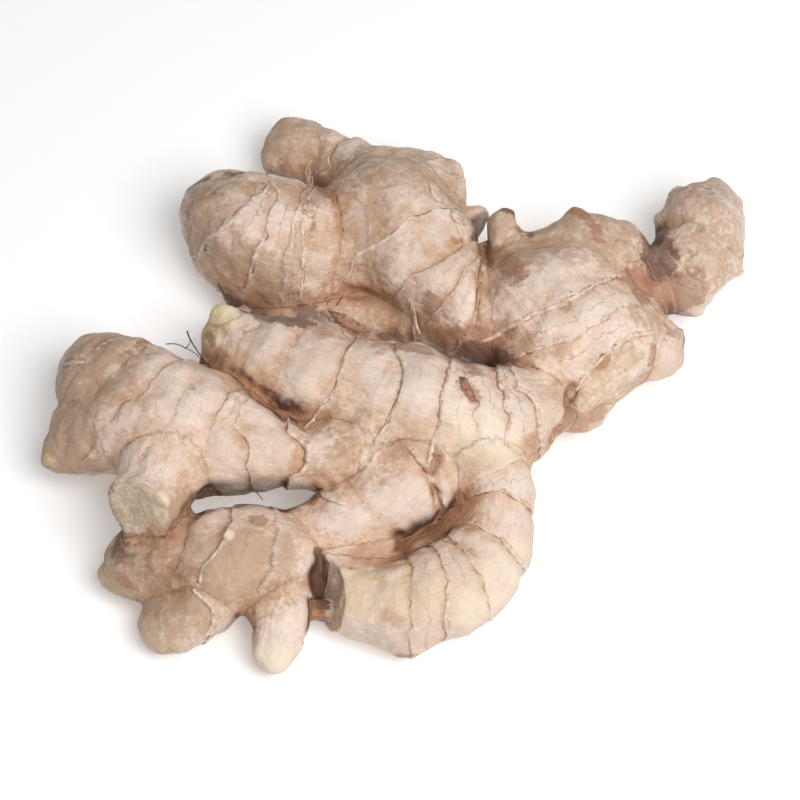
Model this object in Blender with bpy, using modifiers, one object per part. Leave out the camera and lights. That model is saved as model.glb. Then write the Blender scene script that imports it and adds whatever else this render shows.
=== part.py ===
"""A hand of ginger root, one grown piece: a swollen stem with short fingers, ring scars where its scale leaves
sat, a few buds, and three ends that were cut or broken when it was dug.

The root is drawn as limbs. Every limb has a middle line with a radius at each of its stations and ring scars
across it at stated places, and the limbs melt into each other where they meet. The root lies on its lowest
bellies. +X is its length, +Z is up, and the origin is under the middle of its outline, on the table.
"""
import math
import random
from dataclasses import dataclass

import bpy
import numpy as np

# Sizes are in millimetres until the mesh is written.
MM = 0.001
LINE_STEP = 1.5          # spacing of the points along a limb's middle line
MELT = 1.3               # how softly two limbs run into each other
MELT_REACH = 8 * MELT    # further out than this a limb has no say
GRAIN = 1.15             # edge of the fine mesh that the relief is raised on
TRIANGLES = 11600        # what the finished mesh keeps
SWELL = 1.0              # how far the skin swells between two ring scars
STEP = 1.4               # how far it drops at each ring scar, going towards the tip
LIP = 1.1                # height of the torn lip that each ring scar leaves
LIP_WIDTH = 1.2
DENT = 0.8               # depth of the slow dents all over the root
DENT_SIZE = 26.0         # length of the longest wave that the dents are made of
DENT_WAVES = 14
FOLD_WIDTH = 1.5
FLOOR = 0.9              # the table's height, which the lowest bellies are pressed flat against
SETTLE_STEPS = 6         # times that the fine mesh is moved towards the skin
LONGEST_MOVE = 2.0       # the furthest that a point moves in one of them
LEAST_SLOPE = 0.3        # keeps that move short in a crease, where the ways out cancel
CHUNK = 4000             # points measured at a time, to spare memory
SKIN_COLOUR = (0.60, 0.43, 0.32, 1.0)
SKIN_ROUGHNESS = 0.72

# A ring scar strays from a true circle in waves: how many there are round the limb, and how high they are.
RING_WAVES = ((1, 0.9), (2, 0.6), (5, 0.3), (7, 0.3))


@dataclass
class Limb:
    """Stations are (x, y, height of the middle line, radius), from the limb's base to its tip. Rings are distances
    along that line, and wide is how much wider than high the limb is."""
    stations: list
    rings: tuple = ()
    wide: float = 1.0


LIMBS = {
    "right_body": Limb([(32, 30, 18, 7.5), (36, 24, 19, 12), (42, 15, 20, 16), (49, 6, 18, 14.5),
                        (52, 3, 17, 11.5)], (0, 4, 13, 23, 31, 38), 1.25),
    "right_shoulder": Limb([(38, 30, 19, 10.5), (47, 32, 20, 10), (55, 31, 19, 10)]),
    "right_lower_lobe": Limb([(38, 6, 17, 13), (44, -2, 15, 11.5), (45, -6, 13, 9.5)]),
    "right_stub": Limb([(56, 13, 17, 12), (64, 7, 15, 6.5), (69, 8, 14, 4.5), (74, 9, 13, 4)], (8, 15)),
    "right_corner": Limb([(53, 30, 20, 9.5), (58, 34, 24, 4), (59, 36, 26, 2.5)], (6,)),
    "right_peak": Limb([(45, 30, 22, 9), (45, 36, 26, 4.5), (46, 40, 28, 2)], (6,)),
    "right_spur": Limb([(31, 22, 19, 4.5), (29, 30, 23, 4), (28, 36, 26, 4), (27, 38, 27, 3.5)],
                       (6, 13, 17)),
    "spur_tip": Limb([(28, 38, 27, 3), (30, 40, 28, 1.5)]),
    "far_knob": Limb([(59, 22, 18, 9), (67, 25, 17, 8), (75, 30, 17, 10.5), (79, 40, 17, 10.5),
                      (80, 45, 17, 10)], (6, 11, 16, 25, 36)),
    "knob_side": Limb([(72, 41, 17, 5), (68, 45, 17, 2)]),
    "knob_bump_a": Limb([(77, 48, 18, 5), (74, 53, 18, 2.5)]),
    "knob_bump_b": Limb([(82, 48, 18, 6.5), (83, 55, 18, 3)]),
    "knob_bump_c": Limb([(85, 46, 18, 5), (88, 49, 18, 3)]),
    "knob_bump_d": Limb([(83, 34, 16, 6.5), (88, 31, 15, 2.5)]),
    "knob_bump_e": Limb([(76, 26, 14, 5.5), (77, 22, 12, 3)]),
    "upper_body": Limb([(20, 13, 17, 10.5), (13, 22, 19, 11), (5, 34, 19, 14), (0, 43, 19, 14.5),
                        (-5, 47, 18, 13)], (1, 6, 15, 21, 34)),
    "upper_finger_a": Limb([(-3, 42, 18, 13.5), (-16, 37, 17, 12), (-28, 37, 17, 15.5), (-37, 40, 17, 17),
                            (-44, 45, 17, 13), (-46, 45, 17, 10.5)], (10, 21, 27, 33, 44, 51)),
    "upper_finger_b": Limb([(5, 52, 15, 12), (0, 56, 14, 11.5), (-10, 62, 12, 10), (-18, 67, 10, 8),
                            (-26, 71, 10, 8.5), (-28, 72, 10, 8.5)], (5, 11, 22, 31, 38, 44)),
    "upper_corner": Limb([(8, 55, 16, 9), (12, 58, 18, 4.5)]),
    "upper_snag": Limb([(16, 42, 19, 4.5), (21, 45, 20, 2.5)]),
    "upper_low_finger": Limb([(22, 15, 14, 11), (8, 17, 11, 8), (-2, 19, 9, 6), (-15, 21, 8, 4),
                              (-24, 22, 8, 2.5)], (8, 19, 30, 40)),
    "crust": Limb([(-37, 28, 12, 5), (-42, 27, 9, 3.5)]),
    "middle_body": Limb([(36, -13, 18, 8.5), (26, -16, 19, 13), (13, -16, 20, 15), (0, -12, 20, 15),
                         (-12, -8, 20, 13.5), (-25, -3, 20, 13), (-35, 1, 20, 10.5), (-41, 4, 19, 9)],
                        (1, 8, 17, 27, 38, 53, 68, 76, 83)),
    "yellow_bud": Limb([(-40, 6, 21, 6), (-43, 9, 24, 4), (-45, 11, 26, 2.5)], (4,)),
    "left_hand": Limb([(-15, -26, 20, 9.5), (-24, -28, 21, 7.5), (-32, -27, 22, 9), (-39, -26, 22, 11.5),
                       (-48, -23, 21, 15), (-57, -18, 20, 17), (-66, -11, 19, 15), (-74, -4, 18, 12),
                       (-76, -3, 18, 11.5)], (9, 23, 34, 42, 49, 57, 64, 71, 77)),
    "left_tip": Limb([(-70, -17, 18, 11.5), (-79, -20, 15, 8.5), (-85, -22, 13, 5.5), (-87, -23, 12, 3.5)],
                     (6, 13, 18)),
    "left_side_bud": Limb([(-82, -17, 17, 4.5), (-85, -16, 17, 2)]),
    "left_stub": Limb([(-52, -27, 23, 11), (-58, -35, 25, 10), (-61, -42, 27, 8.5), (-64, -46, 28, 8.5)],
                      (5, 14)),
    "lower_arm": Limb([(6, -29, 17, 11.5), (-2, -36, 14, 10.5), (-11, -42, 14, 9), (-18, -44, 14, 7.5),
                       (-23, -45, 14, 6)], (0, 7, 21)),
    "lower_hand": Limb([(-26, -49, 14, 5.5), (-32, -52, 14, 11), (-40, -53, 14, 13.5), (-53, -54, 12, 12),
                        (-62, -52, 12, 9.5), (-63, -52, 12, 8.5)], (0, 7, 23, 30, 36)),
    "lower_left_bud": Limb([(-65, -55, 10, 5.5), (-70, -56, 9, 3), (-72, -55, 9, 2)], (4,)),
    "lower_toe": Limb([(-49, -63, 11, 9.5), (-55, -67, 9, 8), (-58, -68, 8, 6.5)], (2, 10)),
    "lower_thumb": Limb([(-29, -57, 12, 7.5), (-29, -66, 10, 8), (-30, -73, 9, 6.5), (-31, -75, 8, 5)],
                        (3, 13, 20)),
    "curled_finger": Limb([(20, -24, 18, 11.5), (25, -35, 16, 9), (25, -44, 13, 8.5), (20, -54, 12, 10.5),
                           (10, -61, 12, 11.5), (-1, -64, 12, 10.5), (-12, -62, 11, 9.5),
                           (-18, -61, 11, 8.5)], (6, 15, 26, 34, 44, 53, 62, 68)),
    "arm_web": Limb([(-20, -51, 9, 3), (-20, -57, 6, 2.5)]),
    "right_belly": Limb([(39, 13, 14, 14.5), (49, 6, 14, 13.5)]),
    "curled_bud": Limb([(4, -68, 9, 6.5), (2, -72, 8, 4.5)]),
    "inner_ledge": Limb([(19, -47, 12, 5), (12, -47, 11, 3.5), (5, -49, 10, 3)]),
    "inner_stub": Limb([(21, -42, 14, 5), (16, -41, 13, 3), (12, -42, 12, 1)]),
}

# A knife or a break took these ends off: a point of the cut, and the way that it faces.
CUTS = {
    "left_stub": ((-62.5, -47, 29), (-0.31, -0.86, 0.42)),
    "curled_finger": ((-16.5, -61, 12), (-0.93, -0.19, 0.32)),
    "right_stub": ((74, 10, 13), (0.95, -0.25, 0.15)),
}

# Deep folds where one growth presses on the next: points along the fold on the skin, and its depth.
FOLDS = {
    "shoulder_fold": ([(21, 24, 29), (22, 17, 29), (21, 12, 29), (19, 8, 27)], 1.8),
    "waist_fold": ([(44, -10, 24), (43, -13, 22), (41, -18, 19), (39, -22, 19)], 2.2),
    "arm_fold": ([(6, -34, 26), (9, -37, 24), (10, -41, 20)], 1.6),
}


def unit(vectors):
    return vectors / np.linalg.norm(vectors, axis=-1, keepdims=True).clip(1e-6)


def smooth_line(stations):
    """Points every LINE_STEP or so along a Catmull-Rom curve through the stations, radius included."""
    rows = np.array(stations, float)
    rows = np.vstack([2 * rows[0] - rows[1], rows, 2 * rows[-1] - rows[-2]])
    line = [rows[1]]
    for before, start, end, after in zip(rows, rows[1:], rows[2:], rows[3:]):
        steps = max(2, round(float(np.linalg.norm((end - start)[:3])) / LINE_STEP))
        for t in np.arange(1, steps + 1) / steps:
            bend = (2 * before - 5 * start + 4 * end - after) * t**2 + (3 * (start - end) + after - before) * t**3
            line.append((2 * start + (end - before) * t + bend) / 2)
    return np.array(line)


class Middle:
    """A limb's middle line, as short round-ended cones."""

    def __init__(self, limb, seed):
        line = smooth_line(limb.stations)
        along = np.diff(line, axis=0)
        self.start, self.radius, self.widening = line[:-1, :3], line[:-1, 3], along[:, 3]
        self.length = np.linalg.norm(along[:, :3], axis=1)
        self.heading = along[:, :3] / self.length[:, None]
        self.run = np.concatenate([[0], np.cumsum(self.length)])[:-1]
        self.side = unit(np.cross(self.heading, (0, 0, 1.0)))
        self.flatten = 1 / limb.wide**2 - 1
        reach = line[:, 3].max() * limb.wide + MELT_REACH
        self.low, self.high = line[:, :3].min(0) - reach, line[:, :3].max(0) + reach
        draw = random.Random(seed)
        self.rings = [(place, [(turns, height * draw.uniform(-1, 1), draw.uniform(0, 2 * math.pi))
                               for turns, height in RING_WAVES]) for place in limb.rings]

    def measure(self, points):
        """For each point: its distance outside the limb, the way out, its place along the limb and round it."""
        offset = points[:, None] - self.start
        free = (offset * self.heading).sum(2) / self.length
        held = free.clip(0, 1)
        offset -= (held * self.length)[..., None] * self.heading
        sideways = (offset * self.side).sum(2)
        distance = np.sqrt(((offset**2).sum(2) + self.flatten * sideways**2).clip(1e-9))
        outside = distance - self.radius - held * self.widening
        row = np.arange(len(points))
        best = outside.argmin(1)
        offset, sideways, distance = offset[row, best], sideways[row, best], distance[row, best]
        way_out = (offset + self.flatten * sideways[:, None] * self.side[best]) / distance[:, None]
        overshoot = np.where(best == 0, free[row, best].clip(None, 0), 0)
        overshoot += np.where(best == len(self.run) - 1, (free[row, best] - 1).clip(0), 0)
        place = self.run[best] + (held[row, best] + overshoot) * self.length[best]
        upward = (offset * np.cross(self.side[best], self.heading[best])).sum(1)
        return outside[row, best], way_out, place, np.arctan2(upward, sideways)

    def relief(self, place, turn):
        """Height of the skin over the plain limb: swollen between ring scars, stepped down at each, with a lip."""
        height = np.zeros(len(place))
        marks = [ring + sum(size * np.cos(turns * turn + start) for turns, size, start in waves)
                 for ring, waves in self.rings]
        for first, second in zip(marks, marks[1:]):
            share = ((place - first) / (second - first)).clip(0, 1)
            inside = (place > first) & (place <= second)
            bulge = SWELL * (np.sin(math.pi * share) - 2 / math.pi)
            height += np.where(inside, bulge + STEP * (share - 0.5), 0)
        for mark in marks:
            height += LIP * np.exp(-((place - mark) / LIP_WIDTH) ** 2)
        return height


MIDDLES = {name: Middle(limb, name) for name, limb in LIMBS.items()}


def root_field(points):
    """For each point: its distance outside the plain root, the way out, and the height of the relief there."""
    outside = np.full((len(MIDDLES), len(points)), 99.0)
    ways = np.zeros((len(MIDDLES), len(points), 3))
    heights = np.zeros((len(MIDDLES), len(points)))
    for row, (name, middle) in enumerate(MIDDLES.items()):
        near = np.flatnonzero(((points > middle.low) & (points < middle.high)).all(1))
        for some in np.array_split(near, len(near) // CHUNK + 1):
            if len(some):
                outside[row, some], ways[row, some], place, turn = middle.measure(points[some])
                heights[row, some] = middle.relief(place, turn)
        if name in CUTS:
            spot, facing = CUTS[name]
            facing = unit(np.array(facing))
            past = (points - spot) @ facing
            cut = past > outside[row]
            outside[row, cut], ways[row, cut], heights[row, cut] = past[cut], facing, 0
    least = outside.min(0)
    share = np.exp((least - outside) / MELT)
    total = share.sum(0)
    share /= total
    way = (share[..., None] * ways).sum(0)
    return least - MELT * np.log(total), way, (share * heights).sum(0)


def dents(points):
    """Slow dents and swellings all over, as a sum of a few waves that cross each other at odd angles."""
    draw = random.Random("dents")
    height = np.zeros(len(points))
    for _ in range(DENT_WAVES):
        heading = unit(np.array([draw.gauss(0, 1) for _ in range(3)]))
        heading *= draw.uniform(0.8, 1.9) * 2 * math.pi / DENT_SIZE
        height += np.sin(points @ heading + draw.uniform(0, 2 * math.pi))
    return height / DENT_WAVES**0.5


def folds(points):
    """How deep the folds sink the skin at each point."""
    depth = np.zeros(len(points))
    for line, deepest in FOLDS.values():
        away = Middle(Limb([(*spot, 0) for spot in line]), "fold").measure(points)[0]
        depth += deepest * np.exp(-((away / FOLD_WIDTH) ** 2))
    return depth


def settle(points):
    """Moves points that lie near the root onto its skin, then raises the relief."""
    points = points.copy()
    for _ in range(SETTLE_STEPS):
        outside, way, _ = root_field(points)
        slope = (way**2).sum(1).clip(LEAST_SLOPE)
        points -= ((outside / slope).clip(-LONGEST_MOVE, LONGEST_MOVE))[:, None] * way
    _, way, relief = root_field(points)
    return points + unit(way) * (relief + DENT * dents(points) - folds(points))[:, None]


def tube(name, limb):
    """A round tube along a limb's stations, fatter or thinner as they say, with a ball at each end that grew."""
    curve = bpy.data.curves.new(name, "CURVE")
    curve.dimensions = "3D"
    curve.bevel_depth = 1.0
    curve.bevel_resolution = 6
    curve.use_fill_caps = True
    line = smooth_line(limb.stations)
    swell = limb.wide**0.5
    spline = curve.splines.new("POLY")
    spline.points.add(len(line) - 1)
    for point, (x, y, z, radius) in zip(spline.points, line):
        point.co = (x, y, z, 1)
        point.radius = radius * swell
    pipe = bpy.data.objects.new(name, curve)
    bpy.context.scene.collection.objects.link(pipe)
    pieces = [pipe]
    for x, y, z, radius in (line[:1] if name in CUTS else line[[0, -1]]):
        bpy.ops.mesh.primitive_uv_sphere_add(segments=24, ring_count=14, radius=radius * swell, location=(x, y, z))
        pieces.append(bpy.context.object)
    return pieces


def evaluated_mesh(thing):
    graph = bpy.context.evaluated_depsgraph_get()
    return bpy.data.meshes.new_from_object(thing.evaluated_get(graph), depsgraph=graph)


def rough_root():
    """All limbs as one closed mesh: their tubes are joined and wrapped in an even skin."""
    pieces = [piece for name, limb in LIMBS.items() for piece in tube(name, limb)]
    bpy.ops.object.select_all(action="DESELECT")
    for piece in pieces:
        piece.select_set(True)
    bpy.context.view_layer.objects.active = pieces[0]
    bpy.ops.object.convert(target="MESH")
    bpy.ops.object.join()
    joined = bpy.context.object
    wrap = joined.modifiers.new("wrap", "REMESH")
    wrap.mode = "VOXEL"
    wrap.voxel_size = GRAIN
    mesh = evaluated_mesh(joined)
    bpy.data.objects.remove(joined)
    return mesh


def read_points(mesh):
    flat = np.empty(len(mesh.vertices) * 3, np.float32)
    mesh.vertices.foreach_get("co", flat)
    return flat.reshape(-1, 3).astype(float)


def write_points(mesh, points):
    mesh.vertices.foreach_set("co", points.astype(np.float32).ravel())
    mesh.update()


def skin_material():
    material = bpy.data.materials.new("ginger_skin")
    material.use_nodes = True
    shader = material.node_tree.nodes["Principled BSDF"]
    shader.inputs["Base Color"].default_value = SKIN_COLOUR
    shader.inputs["Roughness"].default_value = SKIN_ROUGHNESS
    shader.inputs["Metallic"].default_value = 0.0
    return material


def build():
    for thing in list(bpy.data.objects):
        bpy.data.objects.remove(thing)
    collection = bpy.data.collections.new("ginger_root_hand")
    bpy.context.scene.collection.children.link(collection)

    fine = rough_root()
    write_points(fine, settle(read_points(fine)))
    root = bpy.data.objects.new("ginger_root", fine)
    collection.objects.link(root)
    thin = root.modifiers.new("fewer_faces", "DECIMATE")
    thin.ratio = TRIANGLES / sum(len(face.vertices) - 2 for face in fine.polygons)
    root.data = evaluated_mesh(root)
    root.modifiers.clear()
    bpy.data.meshes.remove(fine)

    points = read_points(root.data)
    points[:, 2] = (points[:, 2] - FLOOR).clip(0)
    write_points(root.data, points * MM)
    root.data.shade_smooth()
    root.data.materials.clear()
    root.data.materials.append(skin_material())


build()
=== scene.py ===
# %% [markdown]
# # A hand of ginger root
#
# Ginger isn't a true root but a stem that grows underground. It swells, branches, and keeps the marks of its
# life on its skin: a scar ring wherever a scale leaf sat, a knob wherever a bud began, and a dry brown stain
# wherever soil and damp were held. This lesson starts from the plain solid of the root and grows that skin on
# it.

# %% Frame
import math
import random
from dataclasses import dataclass

import bpy
import numpy as np
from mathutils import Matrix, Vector
from mathutils.bvhtree import BVHTree


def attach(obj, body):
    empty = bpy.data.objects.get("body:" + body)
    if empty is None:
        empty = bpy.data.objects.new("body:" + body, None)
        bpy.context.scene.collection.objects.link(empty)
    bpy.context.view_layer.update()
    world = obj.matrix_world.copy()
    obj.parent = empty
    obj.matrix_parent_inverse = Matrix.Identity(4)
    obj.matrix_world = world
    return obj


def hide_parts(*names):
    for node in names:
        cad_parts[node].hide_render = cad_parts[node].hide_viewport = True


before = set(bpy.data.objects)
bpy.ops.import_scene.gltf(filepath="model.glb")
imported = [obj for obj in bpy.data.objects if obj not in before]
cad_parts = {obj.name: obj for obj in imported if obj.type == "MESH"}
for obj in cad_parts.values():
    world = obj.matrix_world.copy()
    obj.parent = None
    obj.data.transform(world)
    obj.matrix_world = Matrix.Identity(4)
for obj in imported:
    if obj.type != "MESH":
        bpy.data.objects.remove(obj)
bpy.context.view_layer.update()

# %% [markdown]
# ## The camera
#
# The picture looks down at the root at sixty degrees from the table. The camera is made first, because it also
# serves as a ruler: marks on the skin are noted where they are seen in the picture, as (across, down) in its
# 800 by 800 points, and a ray from the camera carries each one onto the root.

# %% Camera and ruler
MM = 0.001
PICTURE = 800
ELEVATION = math.radians(60)
DISTANCE = 800.0                     # mm from the camera to the point that it looks at
VIEW_WIDTH = 203.7                   # mm that the picture spans at that point
SENSOR = 36.0
AIM = np.array((0.5, -7.5, 13.1))    # mm
UP = np.array((0, math.sin(ELEVATION), math.cos(ELEVATION)))
AHEAD = np.array((0, math.cos(ELEVATION), -math.sin(ELEVATION)))
EYE = AIM - DISTANCE * AHEAD

eye = bpy.data.cameras.new("camera")
eye.sensor_width = SENSOR
eye.lens = SENSOR * DISTANCE / VIEW_WIDTH
camera = bpy.data.objects.new("camera", eye)
camera.location = EYE * MM
camera.rotation_euler = (math.pi / 2 - ELEVATION, 0, 0)
bpy.context.scene.collection.objects.link(camera)
bpy.context.scene.camera = camera


def look(across, down):
    """The direction from the camera through a point of the picture."""
    side = (across - PICTURE / 2) * VIEW_WIDTH / PICTURE
    rise = (PICTURE / 2 - down) * VIEW_WIDTH / PICTURE
    return AHEAD * DISTANCE + np.array((1.0, 0, 0)) * side + UP * rise


print("the camera looks through a lens of", round(eye.lens, 1), "mm")

# %% [markdown]
# ## The limbs
#
# A hand of ginger is a chain of swellings, so it is described as limbs, each with a middle line and a radius
# at every station: (x, y, height, radius) in millimetres. Knowing a limb's middle line gives every point of the
# skin an address: its place along the limb and its turn round it. Ring scars are easy to draw that way.

# %% Limbs
LINE_STEP = 1.5         # mm between the points of a middle line
MELT = 1.3              # mm over which two limbs melt together in a crease
SOFT_MELT = 2.3         # and where one limb runs softly into the next
MELT_REACH = 11         # mm outside a limb that still know of it
FLOOR = 0.9             # mm of the lowest bellies that the table presses flat
CHUNK = 4000            # points that are measured at a time
EVEN = 0.6              # mm by which neighbouring stretches of a limb share a point's address


@dataclass
class Limb:
    stations: list
    rings: tuple = ()
    wide: float = 1.0


LIMBS = {
    "right_body": Limb([(32, 30, 18, 7.5), (36, 24, 19, 12), (42, 15, 20, 16), (49, 6, 18, 14.5),
                        (52, 3, 17, 11.5)], wide=1.25),
    "right_shoulder": Limb([(38, 30, 19, 10.5), (47, 32, 20, 10), (55, 31, 19, 10)]),
    "right_lower_lobe": Limb([(38, 6, 17, 13), (44, -2, 15, 11.5), (45, -6, 13, 9.5)]),
    "right_stub": Limb([(56, 13, 17, 12), (64, 8, 15, 8.5), (69, 8.5, 14, 6), (74, 9, 13, 4.6)], (8, 15)),
    "right_corner": Limb([(53, 30, 20, 9.5), (58, 34, 24, 4), (59, 36, 26, 2.5)]),
    "right_peak": Limb([(45, 30, 22, 9), (45, 36, 26, 4.5), (46, 40, 28, 2)]),
    "right_spur": Limb([(31, 22, 19, 4.5), (29, 30, 23, 4), (28, 36, 26, 4), (27, 38, 27, 3.5)],
                       (6, 13, 17)),
    "spur_tip": Limb([(28, 38, 27, 3), (30, 40, 28, 1.5)]),
    "far_knob": Limb([(59, 22, 18, 9), (67, 25, 17, 8), (75, 30, 17, 10.5), (79, 40, 17, 10.5),
                      (80, 45, 17, 10)], (6, 11, 16, 25, 36)),
    "knob_side": Limb([(72, 41, 17, 5), (68, 45, 17, 2)]),
    "knob_bump_a": Limb([(77, 48, 18, 5), (74, 53, 18, 2.5)]),
    "knob_bump_b": Limb([(82, 48, 18, 6.5), (83, 55, 18, 3)]),
    "knob_bump_c": Limb([(85, 46, 18, 5), (88, 49, 18, 3)]),
    "knob_bump_d": Limb([(83, 34, 16, 6.5), (88, 31, 15, 2.5)]),
    "knob_bump_e": Limb([(76, 26, 14, 5.5), (77, 22, 12, 3)]),
    "upper_body": Limb([(20, 13, 17, 10.5), (13, 22, 19, 11), (5, 34, 19, 14), (0, 43, 19, 14.5),
                        (-5, 47, 18, 13)]),
    "upper_finger_a": Limb([(-3, 42, 18, 13.5), (-16, 37, 17, 12), (-28, 37, 17, 15.5), (-37, 40, 17, 17),
                            (-44, 45, 17, 13), (-46, 45, 17, 10.5)]),
    "upper_finger_b": Limb([(5, 52, 15, 12), (0, 56, 14, 11.5), (-10, 62, 12, 10), (-18, 67, 10, 8),
                            (-26, 71, 10, 8.5), (-28, 72, 10, 8.5)]),
    "upper_corner": Limb([(8, 55, 16, 9), (12, 58, 18, 4.5)]),
    "upper_snag": Limb([(16, 42, 19, 4.5), (21, 45, 20, 2.5)]),
    "upper_low_finger": Limb([(22, 15, 14, 11), (8, 17, 11, 8), (-2, 19, 9, 6), (-15, 21, 8, 4),
                              (-24, 22, 8, 2.5)]),
    "crust": Limb([(-37, 28, 12, 5), (-42, 27, 9, 3.5)]),
    "middle_body": Limb([(36, -13, 18, 8.5), (26, -16, 19, 13), (13, -16, 20, 15), (0, -12, 20, 15),
                         (-12, -8, 20, 13.5), (-25, -3, 20, 13), (-35, 1, 20, 10.5), (-41, 4, 19, 9)]),
    "yellow_bud": Limb([(-40, 6, 21, 6), (-43, 9, 24, 4), (-45, 11, 26, 2.5)]),
    "left_hand": Limb([(2, -14, 14, 11), (-7, -21, 16.5, 10), (-15, -26, 19, 8.6), (-24, -28, 21, 7.5),
                       (-32, -27, 22, 9), (-39, -26, 22, 11.5), (-48, -23, 21, 15), (-57, -18, 20, 17),
                       (-66, -11, 19, 15), (-74, -4, 18, 12), (-76, -3, 18, 11.5)]),
    "left_tip": Limb([(-70, -17, 18, 11.5), (-79, -20, 15, 8.5), (-85, -22, 13, 5.5), (-87, -23, 12, 3.5)]),
    "left_side_bud": Limb([(-82, -17, 17, 4.5), (-85, -16, 17, 2)]),
    "left_stub": Limb([(-52, -27, 23, 11), (-58, -35, 25, 10), (-61, -42, 27, 8.5), (-64, -46, 28, 8.5)]),
    "lower_arm": Limb([(6, -29, 17, 11.5), (-2, -36, 14, 10.5), (-11, -42, 14, 9), (-18, -44, 14, 7.5),
                       (-23, -45, 14, 6)]),
    "lower_hand": Limb([(-26, -49, 14, 5.5), (-32, -52, 14, 11), (-40, -53, 14, 13.5), (-53, -54, 12, 12),
                        (-62, -52, 12, 9.5), (-63, -52, 12, 8.5)]),
    "lower_left_bud": Limb([(-65, -55, 10, 5.5), (-70, -56, 9, 3), (-72, -55, 9, 2)], (4,)),
    "lower_toe": Limb([(-49, -63, 11, 9.5), (-55, -67, 9, 8), (-58, -68, 8, 6.5)]),
    "lower_thumb": Limb([(-29, -57, 12, 7.5), (-29, -66, 10, 8), (-30, -73, 9, 6.5), (-31, -75, 8, 5)]),
    "curled_finger": Limb([(20, -24, 18, 11.5), (25, -35, 16, 9), (25, -44, 13, 8.5), (20, -54, 12, 10.5),
                           (10, -61, 12, 11.5), (-1, -64, 12, 10.5), (-12, -62, 11, 9.5),
                           (-18, -61, 11, 8.5)]),
    "arm_web": Limb([(-20, -46, 11, 4.5), (-20.5, -51, 9, 3.8), (-20.5, -56, 7, 3.6), (-20.5, -59, 5, 3.2)]),
    "under_arm": Limb([(-17, -51, 12, 4.5), (-10, -51.5, 12.5, 4.8), (-3.8, -50.5, 12, 4.2)]),
    "right_belly": Limb([(39, 13, 14, 14.5), (49, 6, 14, 13.5)]),
    "curled_bud": Limb([(4, -68, 9, 6.5), (2, -72, 8, 4.5)]),
    "under_bridge": Limb([(-30, 27, 6, 5), (-14, 28, 7, 6), (-3, 29, 8, 7)]),
    "under_crust": Limb([(-45, 18, 5, 4), (-34, 20, 6, 5.5), (-20, 20, 7, 6), (-8, 18, 7, 6)]),
    "inner_ledge": Limb([(19, -47, 12, 5), (12, -47, 11, 3.5), (5, -49, 10, 3)]),
    "inner_stub": Limb([(21, -42, 14, 5), (16, -41, 13, 3), (12, -42, 12, 1)]),
}

# A knife or a break took these ends off: a point of the cut, and the way that it faces.
CUTS = {
    "left_stub": ((-62.5, -47, 29), (-0.31, -0.86, 0.42)),
    "curled_finger": ((-16.5, -61, 12), (-0.93, -0.19, 0.32)),
    "right_stub": ((74, 10, 13), (0.95, -0.25, 0.15)),
}

FRESH_CUTS = ("left_stub", "curled_finger")

# These small growths close gaps of the plain solid, so they are strung as beads before the skin is wrapped.
FILLERS = ("under_bridge", "under_crust", "arm_web", "under_arm")

# Deep folds where one growth presses on the next: points along the fold on the skin, and its depth.
FOLDS = {
    "shoulder_fold": ([(21, 24, 29), (22, 17, 29), (21, 12, 29), (19, 8, 27)], 1.8),
    "waist_fold": ([(44, -10, 24), (43, -13, 22), (41, -18, 19), (39, -22, 19)], 2.2),
    "arm_fold": ([(6, -34, 26), (9, -37, 24), (10, -41, 20)], 1.6),
}

# These swellings share their ring scars with the limb that they are part of.
PART_OF = {
    "right_shoulder": "right_body", "right_lower_lobe": "right_body", "right_belly": "right_body",
    "right_corner": "right_body", "right_peak": "right_body", "upper_corner": "upper_finger_b",
    "knob_side": "far_knob", "knob_bump_a": "far_knob", "knob_bump_b": "far_knob", "knob_bump_c": "far_knob",
    "knob_bump_d": "far_knob", "knob_bump_e": "far_knob", "curled_bud": "curled_finger",
}

# Limbs of one group run softly into each other. All the others meet in a crease.
SOFT_GROUPS = {
    "upper": ("upper_body", "upper_finger_a", "upper_finger_b", "upper_corner"),
    "lower": ("middle_body", "left_hand", "left_tip", "lower_arm"),
}
GROUP_OF = {name: group for group, names in SOFT_GROUPS.items() for name in names}


def unit(vectors):
    return vectors / np.linalg.norm(vectors, axis=-1, keepdims=True).clip(1e-6)


def smooth_line(stations):
    """Points every LINE_STEP or so along a Catmull-Rom curve through the stations, radius included."""
    rows = np.array(stations, float)
    rows = np.vstack([2 * rows[0] - rows[1], rows, 2 * rows[-1] - rows[-2]])
    line = [rows[1]]
    for before, start, end, after in zip(rows, rows[1:], rows[2:], rows[3:]):
        steps = max(2, round(float(np.linalg.norm((end - start)[:3])) / LINE_STEP))
        for t in np.arange(1, steps + 1) / steps:
            bow = (2 * before - 5 * start + 4 * end - after) * t**2
            sway = (3 * (start - end) + after - before) * t**3
            line.append((2 * start + (end - before) * t + bow + sway) / 2)
    return np.array(line)


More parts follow.
